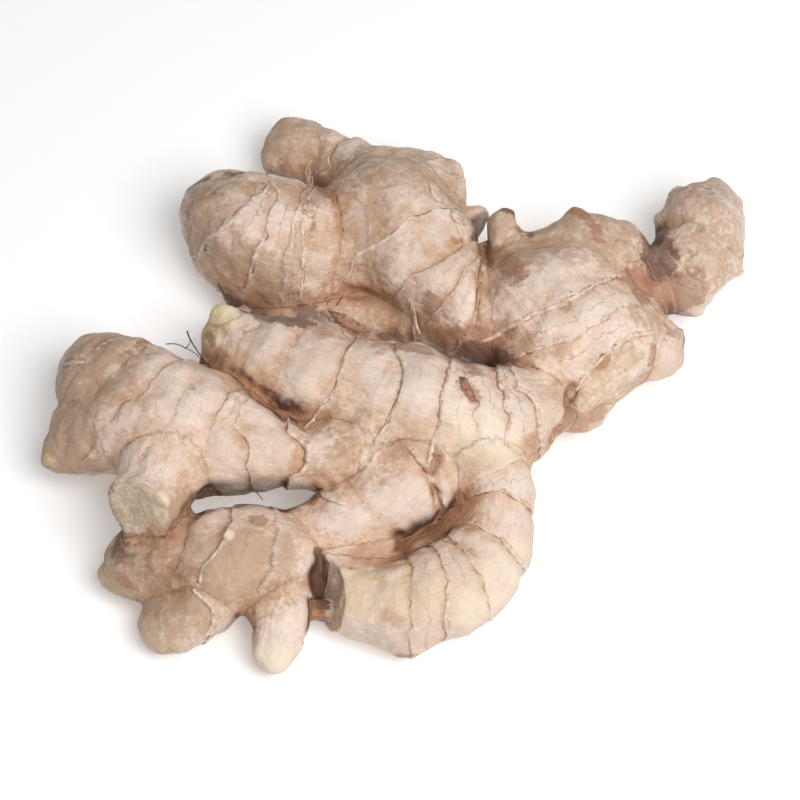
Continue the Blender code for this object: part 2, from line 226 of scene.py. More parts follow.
class Middle:
    """A limb's middle line, as short round-ended cones."""

    def __init__(self, limb):
        line = smooth_line(limb.stations)
        along = np.diff(line, axis=0)
        self.start, self.radius, self.widening = line[:-1, :3], line[:-1, 3], along[:, 3]
        self.length = np.linalg.norm(along[:, :3], axis=1)
        self.heading = along[:, :3] / self.length[:, None]
        self.run = np.concatenate([[0], np.cumsum(self.length)])[:-1]
        self.side = unit(np.cross(self.heading, (0, 0, 1.0)))
        self.flatten = 1 / limb.wide**2 - 1
        self.girth = float(line[:, 3].mean())
        reach = line[:, 3].max() * limb.wide + MELT_REACH
        self.low, self.high = line[:, :3].min(0) - reach, line[:, :3].max(0) + reach
        self.rings = []

    def measure(self, points):
        """For each point: its distance outside the limb, the way out, its place along the limb and round it."""
        offset = points[:, None] - self.start
        free = (offset * self.heading).sum(2) / self.length
        held = free.clip(0, 1)
        offset -= (held * self.length)[..., None] * self.heading
        sideways = (offset * self.side).sum(2)
        distance = np.sqrt(((offset**2).sum(2) + self.flatten * sideways**2).clip(1e-9))
        outside = distance - self.radius - held * self.widening
        row = np.arange(len(points))
        best = outside.argmin(1)
        offset, sideways, distance = offset[row, best], sideways[row, best], distance[row, best]
        way_out = (offset + self.flatten * sideways[:, None] * self.side[best]) / distance[:, None]
        held[:, 0] += free[:, 0].clip(None, 0)
        held[:, -1] += (free[:, -1] - 1).clip(0)
        share = np.exp((outside[row, best][:, None] - outside) / EVEN)
        share /= share.sum(1, keepdims=True)
        place = (share * (self.run + held * self.length)).sum(1)
        around = (share[..., None] * self.side).sum(1)
        over = (share[..., None] * np.cross(self.side, self.heading)).sum(1)
        turn = np.arctan2((offset * over).sum(1), (offset * around).sum(1))
        return outside[row, best], way_out, place, turn


MIDDLES = {name: Middle(limb) for name, limb in LIMBS.items()}
print(len(LIMBS), "limbs,", round(sum(float(m.length.sum()) for m in MIDDLES.values())), "mm of middle line")

# %% [markdown]
# ## Ring scars
#
# Each ring scar is noted where it is seen: its strength, and points along it in the picture. Ray by ray the
# points land on the skin, their addresses are worked out, and a slow wave round the limb is fitted through
# them, so that the ring closes on the hidden side as well. A limb with no noted scars has rings at the places
# along it that its own row gives.

# %% Noted ring scars
SCARS = {
    "upper_finger_b": [
        (0.5, [(430, 172), (437, 168), (445, 170), (452, 178)]),
        (0.45, [(388, 184), (392, 177), (396, 174), (398, 182)]),
        (0.5, [(352, 157), (356, 165), (357, 178), (352, 190)]),
        (0.8, [(327, 157), (328, 162), (331, 168), (327, 172), (318, 175)]),
        (0.6, [(316, 130), (321, 143), (318, 153), (312, 162), (308, 175)]),
        (0.4, [(296, 132), (294, 142), (290, 148), (281, 153), (275, 158)])],
    "upper_finger_a": [
        (0.3, [(340, 208), (343, 230), (340, 255), (335, 285)]),
        (0.9, [(303, 218), (302, 235), (303, 250), (303, 265), (302, 280), (300, 298)]),
        (0.6, [(296, 212), (293, 222), (291, 234), (287, 246), (284, 260), (283, 275), (280, 295)]),
        (0.8, [(266, 175), (273, 184), (278, 193), (277, 201), (271, 210), (267, 222), (265, 236),
               (257, 250), (252, 262), (248, 280)]),
        (1.0, [(247, 205), (238, 212), (230, 222), (220, 230), (208, 238), (202, 246), (200, 254), (192, 257)]),
        (0.5, [(228, 184), (216, 193), (205, 201), (197, 212)])],
    "upper_body": [
        (0.5, [(485, 262), (479, 285), (478, 305), (470, 325)]),
        (0.7, [(474, 260), (463, 270), (457, 284), (449, 294), (441, 302)]),
        (0.7, [(470, 243), (458, 250), (445, 258), (432, 266), (418, 271), (408, 278), (400, 290)]),
        (1.0, [(412, 216), (400, 228), (385, 240), (370, 248), (358, 254), (352, 262), (350, 272),
               (343, 283)])],
    "right_body": [
        (0.9, [(482, 342), (492, 338), (503, 331), (512, 326), (522, 321), (532, 315), (545, 312), (560, 304),
               (575, 297), (590, 288), (600, 281), (612, 280)]),
        (0.8, [(528, 353), (540, 348), (552, 345), (562, 341), (571, 341), (580, 337), (588, 329), (600, 322),
               (612, 314), (624, 308)]),
        (1.0, [(576, 392), (580, 384), (588, 375), (594, 367), (600, 360), (610, 352), (620, 344), (632, 336),
               (645, 334), (660, 331)]),
        (0.5, [(612, 392), (622, 388), (630, 385), (645, 372), (652, 360), (660, 345), (664, 328)])],
    "middle_body": [
        (1.0, [(513, 388), (522, 390), (531, 396), (536, 406), (538, 420), (539, 433), (540, 443)]),
        (1.0, [(498, 382), (505, 391), (507, 397), (504, 404), (507, 412), (511, 417), (508, 425), (507, 436),
               (506, 444), (513, 450), (521, 456), (529, 463)]),
        (0.7, [(463, 366), (468, 378), (474, 394), (480, 405), (475, 410), (474, 419), (479, 428), (481, 440),
               (480, 455), (476, 475), (470, 490)]),
        (0.9, [(450, 362), (446, 381), (442, 392), (440, 402), (440, 418), (437, 431), (433, 440), (431, 455),
               (425, 468)]),
        (1.0, [(393, 350), (400, 358), (403, 366), (404, 374), (402, 384), (400, 392), (397, 402), (391, 412),
               (386, 424), (378, 435), (374, 445)]),
        (1.0, [(353, 343), (346, 353), (342, 362), (339, 375), (336, 386), (331, 396), (323, 403), (317, 412),
               (312, 421), (304, 428)]),
        (0.4, [(304, 330), (297, 340), (288, 352), (282, 368), (275, 385), (268, 396)]),
        (0.5, [(262, 322), (250, 328), (240, 334), (235, 345), (226, 358), (220, 368)])],
    "yellow_bud": [(0.6, [(232, 322), (222, 326), (212, 331), (203, 330)])],
    "left_hand": [
        (1.1, [(286, 431), (292, 436), (299, 441), (306, 449), (306, 456), (305, 464), (302, 471), (294, 475),
               (288, 478)]),
        (0.7, [(230, 425), (240, 431), (247, 438), (249, 447), (248, 457), (246, 467), (250, 480), (252, 492)]),
        (0.7, [(212, 428), (207, 440), (204, 452), (203, 465), (206, 480), (210, 492), (212, 503)]),
        (0.45, [(197, 366), (192, 380), (186, 392), (179, 402), (175, 414), (168, 425), (164, 434)]),
        (0.6, [(180, 361), (165, 368), (152, 379), (144, 389), (134, 398), (122, 403), (112, 420)]),
        (0.7, [(150, 345), (139, 353), (128, 361), (117, 368), (108, 377), (99, 387)]),
        (1.1, [(118, 336), (110, 340), (102, 344), (94, 351), (83, 361), (72, 363), (61, 366)]),
        (0.4, [(100, 333), (88, 340), (74, 350), (64, 356)])],
    "left_tip": [
        (0.7, [(101, 427), (97, 438), (97, 446), (91, 453), (84, 457), (79, 464)]),
        (0.35, [(66, 440), (62, 450), (60, 465)]),
        (0.3, [(52, 447), (48, 458), (50, 470)])],
    "left_stub": [(0.3, [(200, 455), (190, 470), (195, 490)])],
    "lower_arm": [
        (0.78, [(424, 470), (431, 478), (437, 488), (440, 500), (440, 512), (434, 524)]),
        (0.4, [(362, 500), (371, 511), (377, 524), (372, 545)]),
        (0.5, [(327, 533), (330, 545), (326, 556)])],
    "lower_hand": [
        (0.6, [(272, 545), (272, 558), (268, 570), (262, 582), (258, 594), (252, 608)]),
        (0.8, [(223, 540), (217, 549), (211, 557), (204, 565), (200, 574), (198, 583)]),
        (0.6, [(186, 540), (182, 552), (177, 565), (170, 578)]),
        (0.4, [(150, 540), (144, 555), (140, 575)])],
    "lower_toe": [
        (0.8, [(192, 590), (199, 597), (207, 603), (212, 612), (212, 622), (208, 632), (203, 640)]),
        (0.35, [(160, 600), (166, 615), (160, 632)])],
    "lower_thumb": [(0.3, [(262, 588), (275, 594), (292, 592)]), (0.25, [(258, 628), (272, 636), (292, 632)])],
    "curled_finger": [
        (0.6, [(478, 480), (490, 474), (505, 468), (520, 458)]),
        (0.9, [(500, 490), (508, 494), (516, 499), (524, 503), (531, 509)]),
        (0.8, [(500, 538), (508, 547), (515, 556), (522, 565)]),
        (0.7, [(476, 568), (483, 577), (487, 590), (487, 605)]),
        (0.9, [(441, 562), (446, 570), (448, 582), (446, 594), (447, 606), (445, 618), (446, 632)]),
        (0.65, [(410, 562), (412, 576), (410, 590), (409, 602), (412, 613), (409, 627)]),
        (0.4, [(371, 566), (376, 580), (378, 595), (375, 612), (370, 628)])],
    "upper_low_finger": [
        (0.6, [(434, 303), (430, 315), (426, 328), (424, 340)]),
        (0.9, [(411, 302), (412, 312), (414, 322), (413, 333)]),
        (0.6, [(346, 305), (352, 315), (362, 325), (372, 334)]),
        (0.5, [(326, 309), (331, 318), (338, 328)])],
}
RAGGED = ((9, 0.16), (14, 0.14), (23, 0.10), (37, 0.07))   # waves round a ring, and their heights in mm
UNSEEN = ((1, 0.9), (2, 0.6), (5, 0.3))                   # and for a ring that can't be seen
HOLD_BACK = 1.5         # how strongly a fitted ring is kept from leaning
LEAST_GAP = 1.6         # mm between two rings
FADE = 0.7              # radians over which a noted ring passes into its fitted wave
SMUDGE = 0.09           # radians over which its points are evened out


def carry(skin, points, spacing=1.5):
    """Carries a line of picture points onto the skin, in steps of that many points, and returns it in mm."""
    landed = []
    for start, end in zip(points, points[1:]):
        steps = max(1, round(math.dist(start, end) / spacing))
        for t in range(steps + (end == points[-1])):
            across, down = np.array(start) + (np.array(end) - np.array(start)) * t / steps
            hit = skin.ray_cast(Vector(EYE * MM), Vector(look(across, down)))[0]
            if hit:
                landed.append(np.array(hit) / MM)
    return np.array(landed).reshape(-1, 3)


class Ring:
    """A ring scar: its place along the limb for each turn round it."""

    def __init__(self, strength, place, lean, seed, seen=None):
        draw = random.Random(seed)
        self.strength, self.place, self.lean, self.seen = strength, place, lean, seen
        self.waves = [(turns, size * draw.uniform(0.5, 1.2), draw.uniform(0, 2 * math.pi))
                      for turns, size in RAGGED]
        if seen is None:
            self.waves += [(turns, size * draw.uniform(-1, 1), draw.uniform(0, 2 * math.pi))
                           for turns, size in UNSEEN]

    def at(self, turn):
        place = self.place + self.lean[0] * np.cos(turn) + self.lean[1] * np.sin(turn)
        for turns, size, start in self.waves:
            place = place + size * np.cos(turns * turn + start)
        if self.seen is not None:
            turns, strays, centre = self.seen
            near = np.angle(np.exp(1j * (turn - centre)))
            past = np.maximum(turns[0] - near, near - turns[-1]).clip(0)
            place = place + np.interp(near, turns, strays) * np.exp(-((past / FADE) ** 2))
        return place


def fit_ring(middle, strength, landed, seed):
    """A slow wave through the places where a noted ring landed, and how far each of them strays from it."""
    outside, _, place, turn = middle.measure(landed)
    kept = outside < np.median(outside) + 5
    place, turn = place[kept], turn[kept]
    wave = np.stack([np.ones(len(turn)), np.cos(turn), np.sin(turn)], 1)
    ridge = np.diag((0, HOLD_BACK, HOLD_BACK))
    mean, *lean = np.linalg.solve(wave.T @ wave + ridge, wave.T @ place)
    centre = np.angle(np.exp(1j * turn).mean())
    near = np.angle(np.exp(1j * (turn - centre)))
    strays = place - wave @ (mean, *lean)
    turns = np.linspace(near.min(), near.max(), 24)
    weight = np.exp(-(((turns[:, None] - near) / SMUDGE) ** 2))
    strays = (weight @ strays) / weight.sum(1).clip(1e-6)
    return Ring(strength, mean, lean, seed, (turns, strays, centre))


print(sum(len(rings) for rings in SCARS.values()), "ring scars noted")

# %% [markdown]
# ## Growing the skin
#
# The plain solid is coarse, so a copy of it is wrapped in an even skin of small squares. Each point is then
# moved onto the melted limbs, and raised or sunk by the relief: skin swells between two ring scars, ends in a
# thin lip, and steps down where the next scale begins, as roof tiles do. Warts, buds and cracks are noted and
# carried over in the same way.

# %% Relief
SWELL = 0.8             # mm that the skin swells between two rings
STEP = 0.6              # mm that it drops at a strong ring
STEP_FADE = 3.2         # mm over which that drop is made up again
STEP_EDGE = 0.28        # mm that the drop itself takes
LIP = 0.16              # mm that the torn edge stands up
LIP_WIDTH = 0.8
PUSHED = (0.2, 1.4)     # mm that a ring is pushed along by the one before it, from whole to gone
ROOM = (2, 9)           # mm between two rings, from no swelling to all of it
TURN_STEP = 0.02        # radians, for measuring how a ring leans
FAR = 99.0              # mm, where no limb is near
CUT_SPAN = 2.0          # mm either side of a cut's rim that know of it
CUT_DEPTH = 0.9         # mm past a cut's face that may still be bare flesh
FOLD_WIDTH = 1.5

# Unevenness all over: its name, height in mm, size in mm and number of waves.
UNEVEN = (("dents", 0.8, 26.0, 14), ("pebbles", 0.13, 5.5, 30), ("lumps", 0.26, 11.0, 20))
RING_REACH = 4.0        # mm either side of a ring that know of it

# Warts and small bumps: where, their radius and height in mm. A height below zero is a pit.
BUMPS = [
    ((165, 498), 1.5, 1.1), ((157, 513), 0.8, 0.5), ((227, 533), 1.7, 0.9), ((112, 371), 1.5, 0.8),
    ((92, 456), 1.1, 0.8), ((231, 403), 0.9, 0.5), ((272, 405), 1.1, 0.6), ((359, 462), 1.3, 0.8),
    ((575, 258), 1.2, 0.5), ((311, 209), 1.9, 0.6), ((438, 190), 2.2, 0.5), ((345, 568), 1.4, 0.8),
    ((348, 565), 0.8, -1), ((286, 352), 1.2, 0.5), ((300, 338), 1, 0.4), ((306, 344), 1, 0.4),
    ((255, 188), 1.1, 0.4), ((452, 213), 1.3, 0.5), ((637, 320), 0.8, 0.3), ((645, 322), 0.8, 0.3),
    ((632, 364), 0.9, 0.3), ((105, 575), 1.4, 0.4), ((46, 460), 1.2, 0.4), ((148, 339), 1.3, 0.8),
    ((61, 425), 1, 0.6), ((297, 298), 1.1, 0.5), ((150, 412), 1, 0.4), ((148, 398), 0.8, 0.3),
    ((185, 391), 1, 0.5), ((192, 388), 0.9, 0.5), ((240, 455), 0.7, 0.25), ((610, 284), 1, 0.35),
    ((701, 228), 1.1, -0.3), ((692, 254), 1, -0.3), ((711, 193), 1, -0.35), ((566, 306), 1.2, -0.2),
    ((514, 214), 1.4, 0.5), ((501, 210), 1.4, 0.4), ((530, 233), 0.9, -0.4), ((521, 228), 1, -0.8),
]

# Cracks and scratches in the skin: depth in mm, and points along each.
CRACKS = [
    (0.7, [(303, 225), (303, 232), (308, 240), (311, 251)]),
    (0.5, [(331, 158), (340, 160), (350, 157), (358, 159)]),
    (0.35, [(275, 157), (284, 153), (289, 148), (293, 150)]),
    (0.5, [(117, 352), (121, 355), (126, 352), (131, 352)]),
    (0.5, [(428, 182), (430, 191), (436, 200), (443, 203)]),
    (0.4, [(437, 178), (441, 187), (442, 196), (444, 204)]),
    (0.45, [(448, 210), (451, 220), (455, 230), (458, 237)]), (0.5, [(449, 211), (455, 214), (461, 216)]),
    (0.45, [(447, 291), (444, 297), (441, 301)]), (0.5, [(133, 478), (140, 481), (147, 486), (152, 488)]),
    (0.6, [(355, 452), (357, 460), (359, 468), (358, 474)]),
    (0.4, [(612, 243), (620, 240), (630, 242), (637, 250)]), (0.5, [(505, 239), (510, 236), (516, 234)]),
    (0.4, [(500, 277), (506, 284), (513, 286)]), (0.5, [(155, 445), (148, 447), (143, 455), (132, 462)]),
    (0.3, [(365, 195), (367, 189), (378, 187), (392, 184)]), (0.4, [(297, 421), (303, 427), (309, 431)]),
    (0.35, [(236, 431), (243, 438), (248, 446)]), (0.4, [(587, 418), (596, 409), (606, 404), (615, 404)]),
    (0.35, [(575, 298), (588, 293), (597, 288)]), (0.4, [(676, 268), (686, 264), (697, 266), (704, 275)]),
    (0.4, [(662, 272), (672, 282), (684, 285), (696, 290)]), (0.5, [(195, 580), (200, 583), (206, 586)]),
    (0.4, [(305, 204), (311, 199), (317, 206), (316, 214), (309, 218)]),
    (0.4, [(309, 236), (314, 228), (316, 219)]), (0.35, [(468, 545), (474, 550), (479, 557)]),
    (0.6, [(415, 548), (430, 542), (445, 541), (460, 543)]),
    (0.9, [(478, 262), (481, 280), (479, 300), (474, 322)]),
    (0.8, [(579, 390), (574, 402), (570, 415), (560, 430), (550, 441)]),
    (0.5, [(225, 196), (212, 195), (203, 203)]), (0.4, [(250, 181), (254, 186), (252, 193), (258, 196)]),
    (0.35, [(292, 333), (298, 338), (296, 344)]), (0.5, [(325, 312), (333, 326), (345, 335), (358, 339)]),
    (0.45, [(240, 332), (252, 328), (262, 323)]),
]
CRACK_WIDTH = 0.45
CRACK_SPAN = 2          # mm either side of a crack that know of it


def waves(points, seed, size, count):
    """Slow unevenness all over, as a sum of waves that cross each other at odd angles."""
    draw = random.Random(seed)
    height = np.zeros(len(points))
    for _ in range(count):
        heading = unit(np.array([draw.gauss(0, 1) for _ in range(3)]))
        heading *= draw.uniform(0.8, 1.9) * 2 * math.pi / size
        height += np.sin(points @ heading + draw.uniform(0, 2 * math.pi))
    return height / count**0.5


def smooth(value, start, end):
    t = ((value - start) / (end - start)).clip(0, 1)
    return t * t * (3 - 2 * t)


def ring_skin(middle, place, turn):
    """Height of the skin, distance past the nearest ring towards the tip, and how strong that ring is."""
    height, nearest, strength = np.zeros(len(place)), np.full(len(place), RING_REACH), np.zeros(len(place))
    marks, strengths = [], []
    for ring in middle.rings:
        mark = ring.at(turn)
        pushed = (marks[-1] + LEAST_GAP - mark).clip(0) if marks else 0 * mark
        marks.append(mark + pushed)
        strengths.append(ring.strength * (1 - smooth(pushed, *PUSHED)))
    for first, second in zip(marks, marks[1:]):
        share = ((place - first) / (second - first)).clip(0, 1)
        bulge = SWELL * (np.sin(math.pi * share) - 2 / math.pi) * smooth(second - first, *ROOM)
        height += np.where((place > first) & (place <= second), bulge, 0)
    for ring, mark, power in zip(middle.rings, marks, strengths):
        lean = (ring.at(turn + TURN_STEP) - ring.at(turn)) / TURN_STEP / middle.girth
        past = (place - mark) / np.sqrt(1 + lean.clip(-2, 2) ** 2)
        height -= power * STEP / 2 * np.tanh(past / STEP_EDGE) * np.exp(-np.abs(past) / STEP_FADE)
        height += power * LIP * np.exp(-(((past + LIP_WIDTH / 2) / LIP_WIDTH) ** 2))
        nearer = np.abs(past) < np.abs(nearest)
        nearest, strength = np.where(nearer, past, nearest), np.where(nearer, power, strength)
    return height, nearest, strength


def survey(points):
    """What the limbs say of each point: distance outside, way out, relief, ring, cut, seam and address."""
    count = len(points)
    found = {"second": np.full(count, FAR), "first": np.full(count, FAR), "ring": np.zeros(count),
             "scar": np.zeros(count), "cut": np.full(count, -CUT_SPAN), "grain": np.zeros((count, 3)),
             "owner": np.zeros(count, np.int64)}
    groups = {}
    for name, middle in MIDDLES.items():
        near = np.flatnonzero(((points > middle.low) & (points < middle.high)).all(1))
        group = groups.setdefault(GROUP_OF.get(name, "creased"), {
            "least": np.full(count, FAR), "total": np.zeros(count), "way": np.zeros((count, 3)),
            "relief": np.zeros(count)})
        melt = SOFT_MELT if name in GROUP_OF else MELT
        for some in np.array_split(near, len(near) // CHUNK + 1):
            if not len(some):
                continue
            outside, way, place, turn = middle.measure(points[some])
            whole = MIDDLES[PART_OF.get(name, name)]
            if whole is not middle:
                _, _, place, turn = whole.measure(points[some])
            relief, ring, scar = ring_skin(whole, place, turn)
            cut = np.full(len(some), -CUT_SPAN)
            if name in CUTS:
                spot, facing = CUTS[name]
                facing = unit(np.array(facing))
                past = (points[some] - spot) @ facing
                if name in FRESH_CUTS:
                    cut = np.minimum(past - outside, 3 * (CUT_DEPTH - past)).clip(-CUT_SPAN, CUT_SPAN)
                over = past > outside
                outside, relief = np.where(over, past, outside), np.where(over, 0, relief)
                way = np.where(over[:, None], facing, way)
            old = group["least"][some]
            new = np.minimum(old, outside)
            kept, share = np.exp((new - old) / melt), np.exp((new - outside) / melt)
            group["least"][some] = new
            group["total"][some] = group["total"][some] * kept + share
            group["relief"][some] = group["relief"][some] * kept + share * relief
            group["way"][some] = group["way"][some] * kept[:, None] + share[:, None] * way
            first = outside < found["first"][some]
            other = found["owner"][some] != id(whole)
            rival, second = np.where(first, found["first"][some], outside), found["second"][some]
            found["second"][some] = np.where(other, np.minimum(second, rival), second)
            found["first"][some] = np.minimum(found["first"][some], outside)
            found["owner"][some] = np.where(first, id(whole), found["owner"][some])
            lying = np.stack([place, whole.girth * np.cos(turn), whole.girth * np.sin(turn)], 1)
            for key, value in (("ring", ring), ("scar", scar), ("cut", cut)):
                found[key][some] = np.where(first, value, found[key][some])
            found["grain"][some] = np.where(first[:, None], lying, found["grain"][some])
    for name, group in groups.items():
        total = group["total"].clip(1e-9)
        group["outside"] = group["least"] - (MELT if name == "creased" else SOFT_MELT) * np.log(total)
        group["relief"] /= total
        group["way"] /= total[:, None]
    least = np.min([group["outside"] for group in groups.values()], 0)
    shares = {name: np.exp((least - group["outside"]) / MELT) for name, group in groups.items()}
    total = sum(shares.values())
    found["outside"] = least - MELT * np.log(total)
    found["relief"] = sum(share * groups[name]["relief"] for name, share in shares.items()) / total
    found["way"] = sum(share[:, None] * groups[name]["way"] for name, share in shares.items()) / total[:, None]
    found["seam"] = found.pop("second") - found.pop("first")
    return found


def read_points(mesh):
    flat = np.empty(len(mesh.vertices) * 3, np.float32)
    mesh.vertices.foreach_get("co", flat)
    return flat.reshape(-1, 3).astype(float) / MM + (0, 0, FLOOR)


def write_points(mesh, points):
    flat = (points - (0, 0, FLOOR)) * MM
    flat[:, 2] = flat[:, 2].clip(0)
    mesh.vertices.foreach_set("co", flat.astype(np.float32).ravel())
    mesh.update()


def tree_of(mesh):
    mesh.calc_loop_triangles()
    corners = np.empty(len(mesh.loop_triangles) * 3, np.int32)
    mesh.loop_triangles.foreach_get("vertices", corners)
    return BVHTree.FromPolygons([v.co for v in mesh.vertices], corners.reshape(-1, 3).tolist())


def settle(points, rounds):
    """Moves points that lie near the root onto its melted limbs."""
    for _ in range(rounds):
        found = survey(points)
        slope = (found["way"] ** 2).sum(1).clip(0.3)
        points = points - ((found["outside"] / slope).clip(-2, 2))[:, None] * found["way"]
    return points


def folds(points):
    depth = np.zeros(len(points))
    for line, deepest in FOLDS.values():
        away = Middle(Limb([(*spot, 0) for spot in line])).measure(points)[0]
        depth += deepest * np.exp(-((away / FOLD_WIDTH) ** 2))
    return depth


def near_line(points, line, reach):
    """Which points are within reach of a line on the skin, how far off it they are, and on which side of it."""
    low, high = line.min(0) - reach, line.max(0) + reach
    some = np.flatnonzero(((points > low) & (points < high)).all(1))
    start, along = line[:-1], np.diff(line, axis=0)
    length = (along**2).sum(1).clip(1e-9)
    offset = points[some][:, None] - start
    held = ((offset * along).sum(2) / length).clip(0, 1)
    offset -= held[..., None] * along
    far = np.sqrt((offset**2).sum(2))
    best = far.argmin(1)
    row = np.arange(len(some))
    return some, far[row, best], offset[row, best], along[best], (best + held[row, best]) / max(1, len(start))


# %% [markdown]
# ## Wrapping, settling and thinning
#
# Small growths that the plain solid lacks are strung as beads. The Remesh modifier wraps the copy and the beads
# in one even skin, a few rounds of settling smooth its facets away, and one subdivision gives the relief enough
# points. Decimate then spends the triangles where the skin bends.

# %% Grow the skin
COARSE = 1.05       # mm, the squares of the wrapped skin
MOST_TRIANGLES = 197000
MERGE = 0.02            # mm, points nearer than this become one
PLAIN_ROUNDS = 3        # of settling
RELIEF_SEAM = (-0.5, 2.5)    # mm from the seam between two skins, from no relief to all of it
CRACK_SHOULDER = (0.25, 1.1)    # share of a crack's depth that its edges stand up, and how wide, in mm
UNNOTED = 0.4           # strength of a ring that wasn't noted
FLOOR_LIFT = np.array((0, 0, FLOOR))


def activate(thing):
    bpy.ops.object.select_all(action="DESELECT")
    thing.select_set(True)
    bpy.context.view_layer.objects.active = thing


def apply_modifier(thing, name, kind, **settings):
    activate(thing)
    modifier = thing.modifiers.new(name, kind)
    for key, value in settings.items():
        setattr(modifier, key, value)
    bpy.ops.object.modifier_apply(modifier=name)


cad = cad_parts["ginger_root"]
skin = bpy.data.objects.new("root_skin", cad.data.copy())
bpy.context.scene.collection.objects.link(skin)
apply_modifier(skin, "merge", "WELD", merge_threshold=MERGE * MM)
beads = [skin]
for name in FILLERS:
    for *spot, radius in smooth_line(LIMBS[name].stations):
        spot = (spot - FLOOR_LIFT) * MM
        bpy.ops.mesh.primitive_ico_sphere_add(subdivisions=2, radius=radius * MM, location=tuple(spot))
        beads.append(bpy.context.object)
for bead in beads:
    bead.select_set(True)
bpy.context.view_layer.objects.active = skin
bpy.ops.object.join()
apply_modifier(skin, "wrap", "REMESH", mode="VOXEL", voxel_size=COARSE * MM)
write_points(skin.data, settle(read_points(skin.data), PLAIN_ROUNDS))
plain_tree = tree_of(skin.data)

for name, noted in SCARS.items():
    middle = MIDDLES[name]
    for number, (strength, points) in enumerate(noted):
        landed = carry(plain_tree, points)
        if len(landed) > 3:
            middle.rings.append(fit_ring(middle, strength, landed + FLOOR_LIFT, f"{name}{number}"))
    middle.rings.sort(key=lambda ring: ring.place)
for name, limb in LIMBS.items():
    if name not in SCARS and name not in PART_OF:
        MIDDLES[name].rings = [Ring(UNNOTED, place, (0, 0), f"{name}{place}") for place in limb.rings]
print("rings on the skin:", {name: len(middle.rings) for name, middle in MIDDLES.items() if middle.rings})

apply_modifier(skin, "finer", "SUBSURF", levels=1, render_levels=1)
points = settle(read_points(skin.data), 1)
found = survey(points)
height = found["relief"] * smooth(found["seam"], *RELIEF_SEAM) - folds(points)
for name, tall, size, count in UNEVEN:
    height += tall * waves(points, name, size, count)
for (across, down), radius, tall in BUMPS:
    hit = plain_tree.ray_cast(Vector(EYE * MM), Vector(look(across, down)))[0]
    if hit:
        far = np.linalg.norm(points - (np.array(hit) / MM + FLOOR_LIFT), axis=1)
        height += tall * np.exp(-((far / radius) ** 2))
crack_lines = [(depth, carry(plain_tree, line) + FLOOR_LIFT) for depth, line in CRACKS]
for depth, line in crack_lines:
    if len(line) > 1:
        some, far, _, _, share = near_line(points, line, CRACK_SPAN)
        fade = smooth(share, 0, 0.15) * smooth(1 - share, 0, 0.15)
        raised, wide = CRACK_SHOULDER
        dip = np.exp(-((far / CRACK_WIDTH) ** 2)) - raised * np.exp(-((far / wide) ** 2))
        height[some] -= depth * fade * dip
points = points + unit(found["way"]) * height[:, None]
write_points(skin.data, points)
triangles = sum(len(face.vertices) - 2 for face in skin.data.polygons)
if triangles > MOST_TRIANGLES:
    apply_modifier(skin, "fewer", "DECIMATE", ratio=MOST_TRIANGLES / triangles)
skin.data.shade_smooth()
print("the skin has", len(skin.data.vertices), "points and", len(skin.data.polygons), "faces")

# %% [markdown]
# ## What each point of the skin knows
#
# The materials need to know where rings, cracks, cuts, hollows and stains are. Each of those is written on the
# skin's points as an attribute. Distances are stored with a sign, so that a line thinner than the mesh still
# comes out crisp: it is drawn where the distance passes through zero.

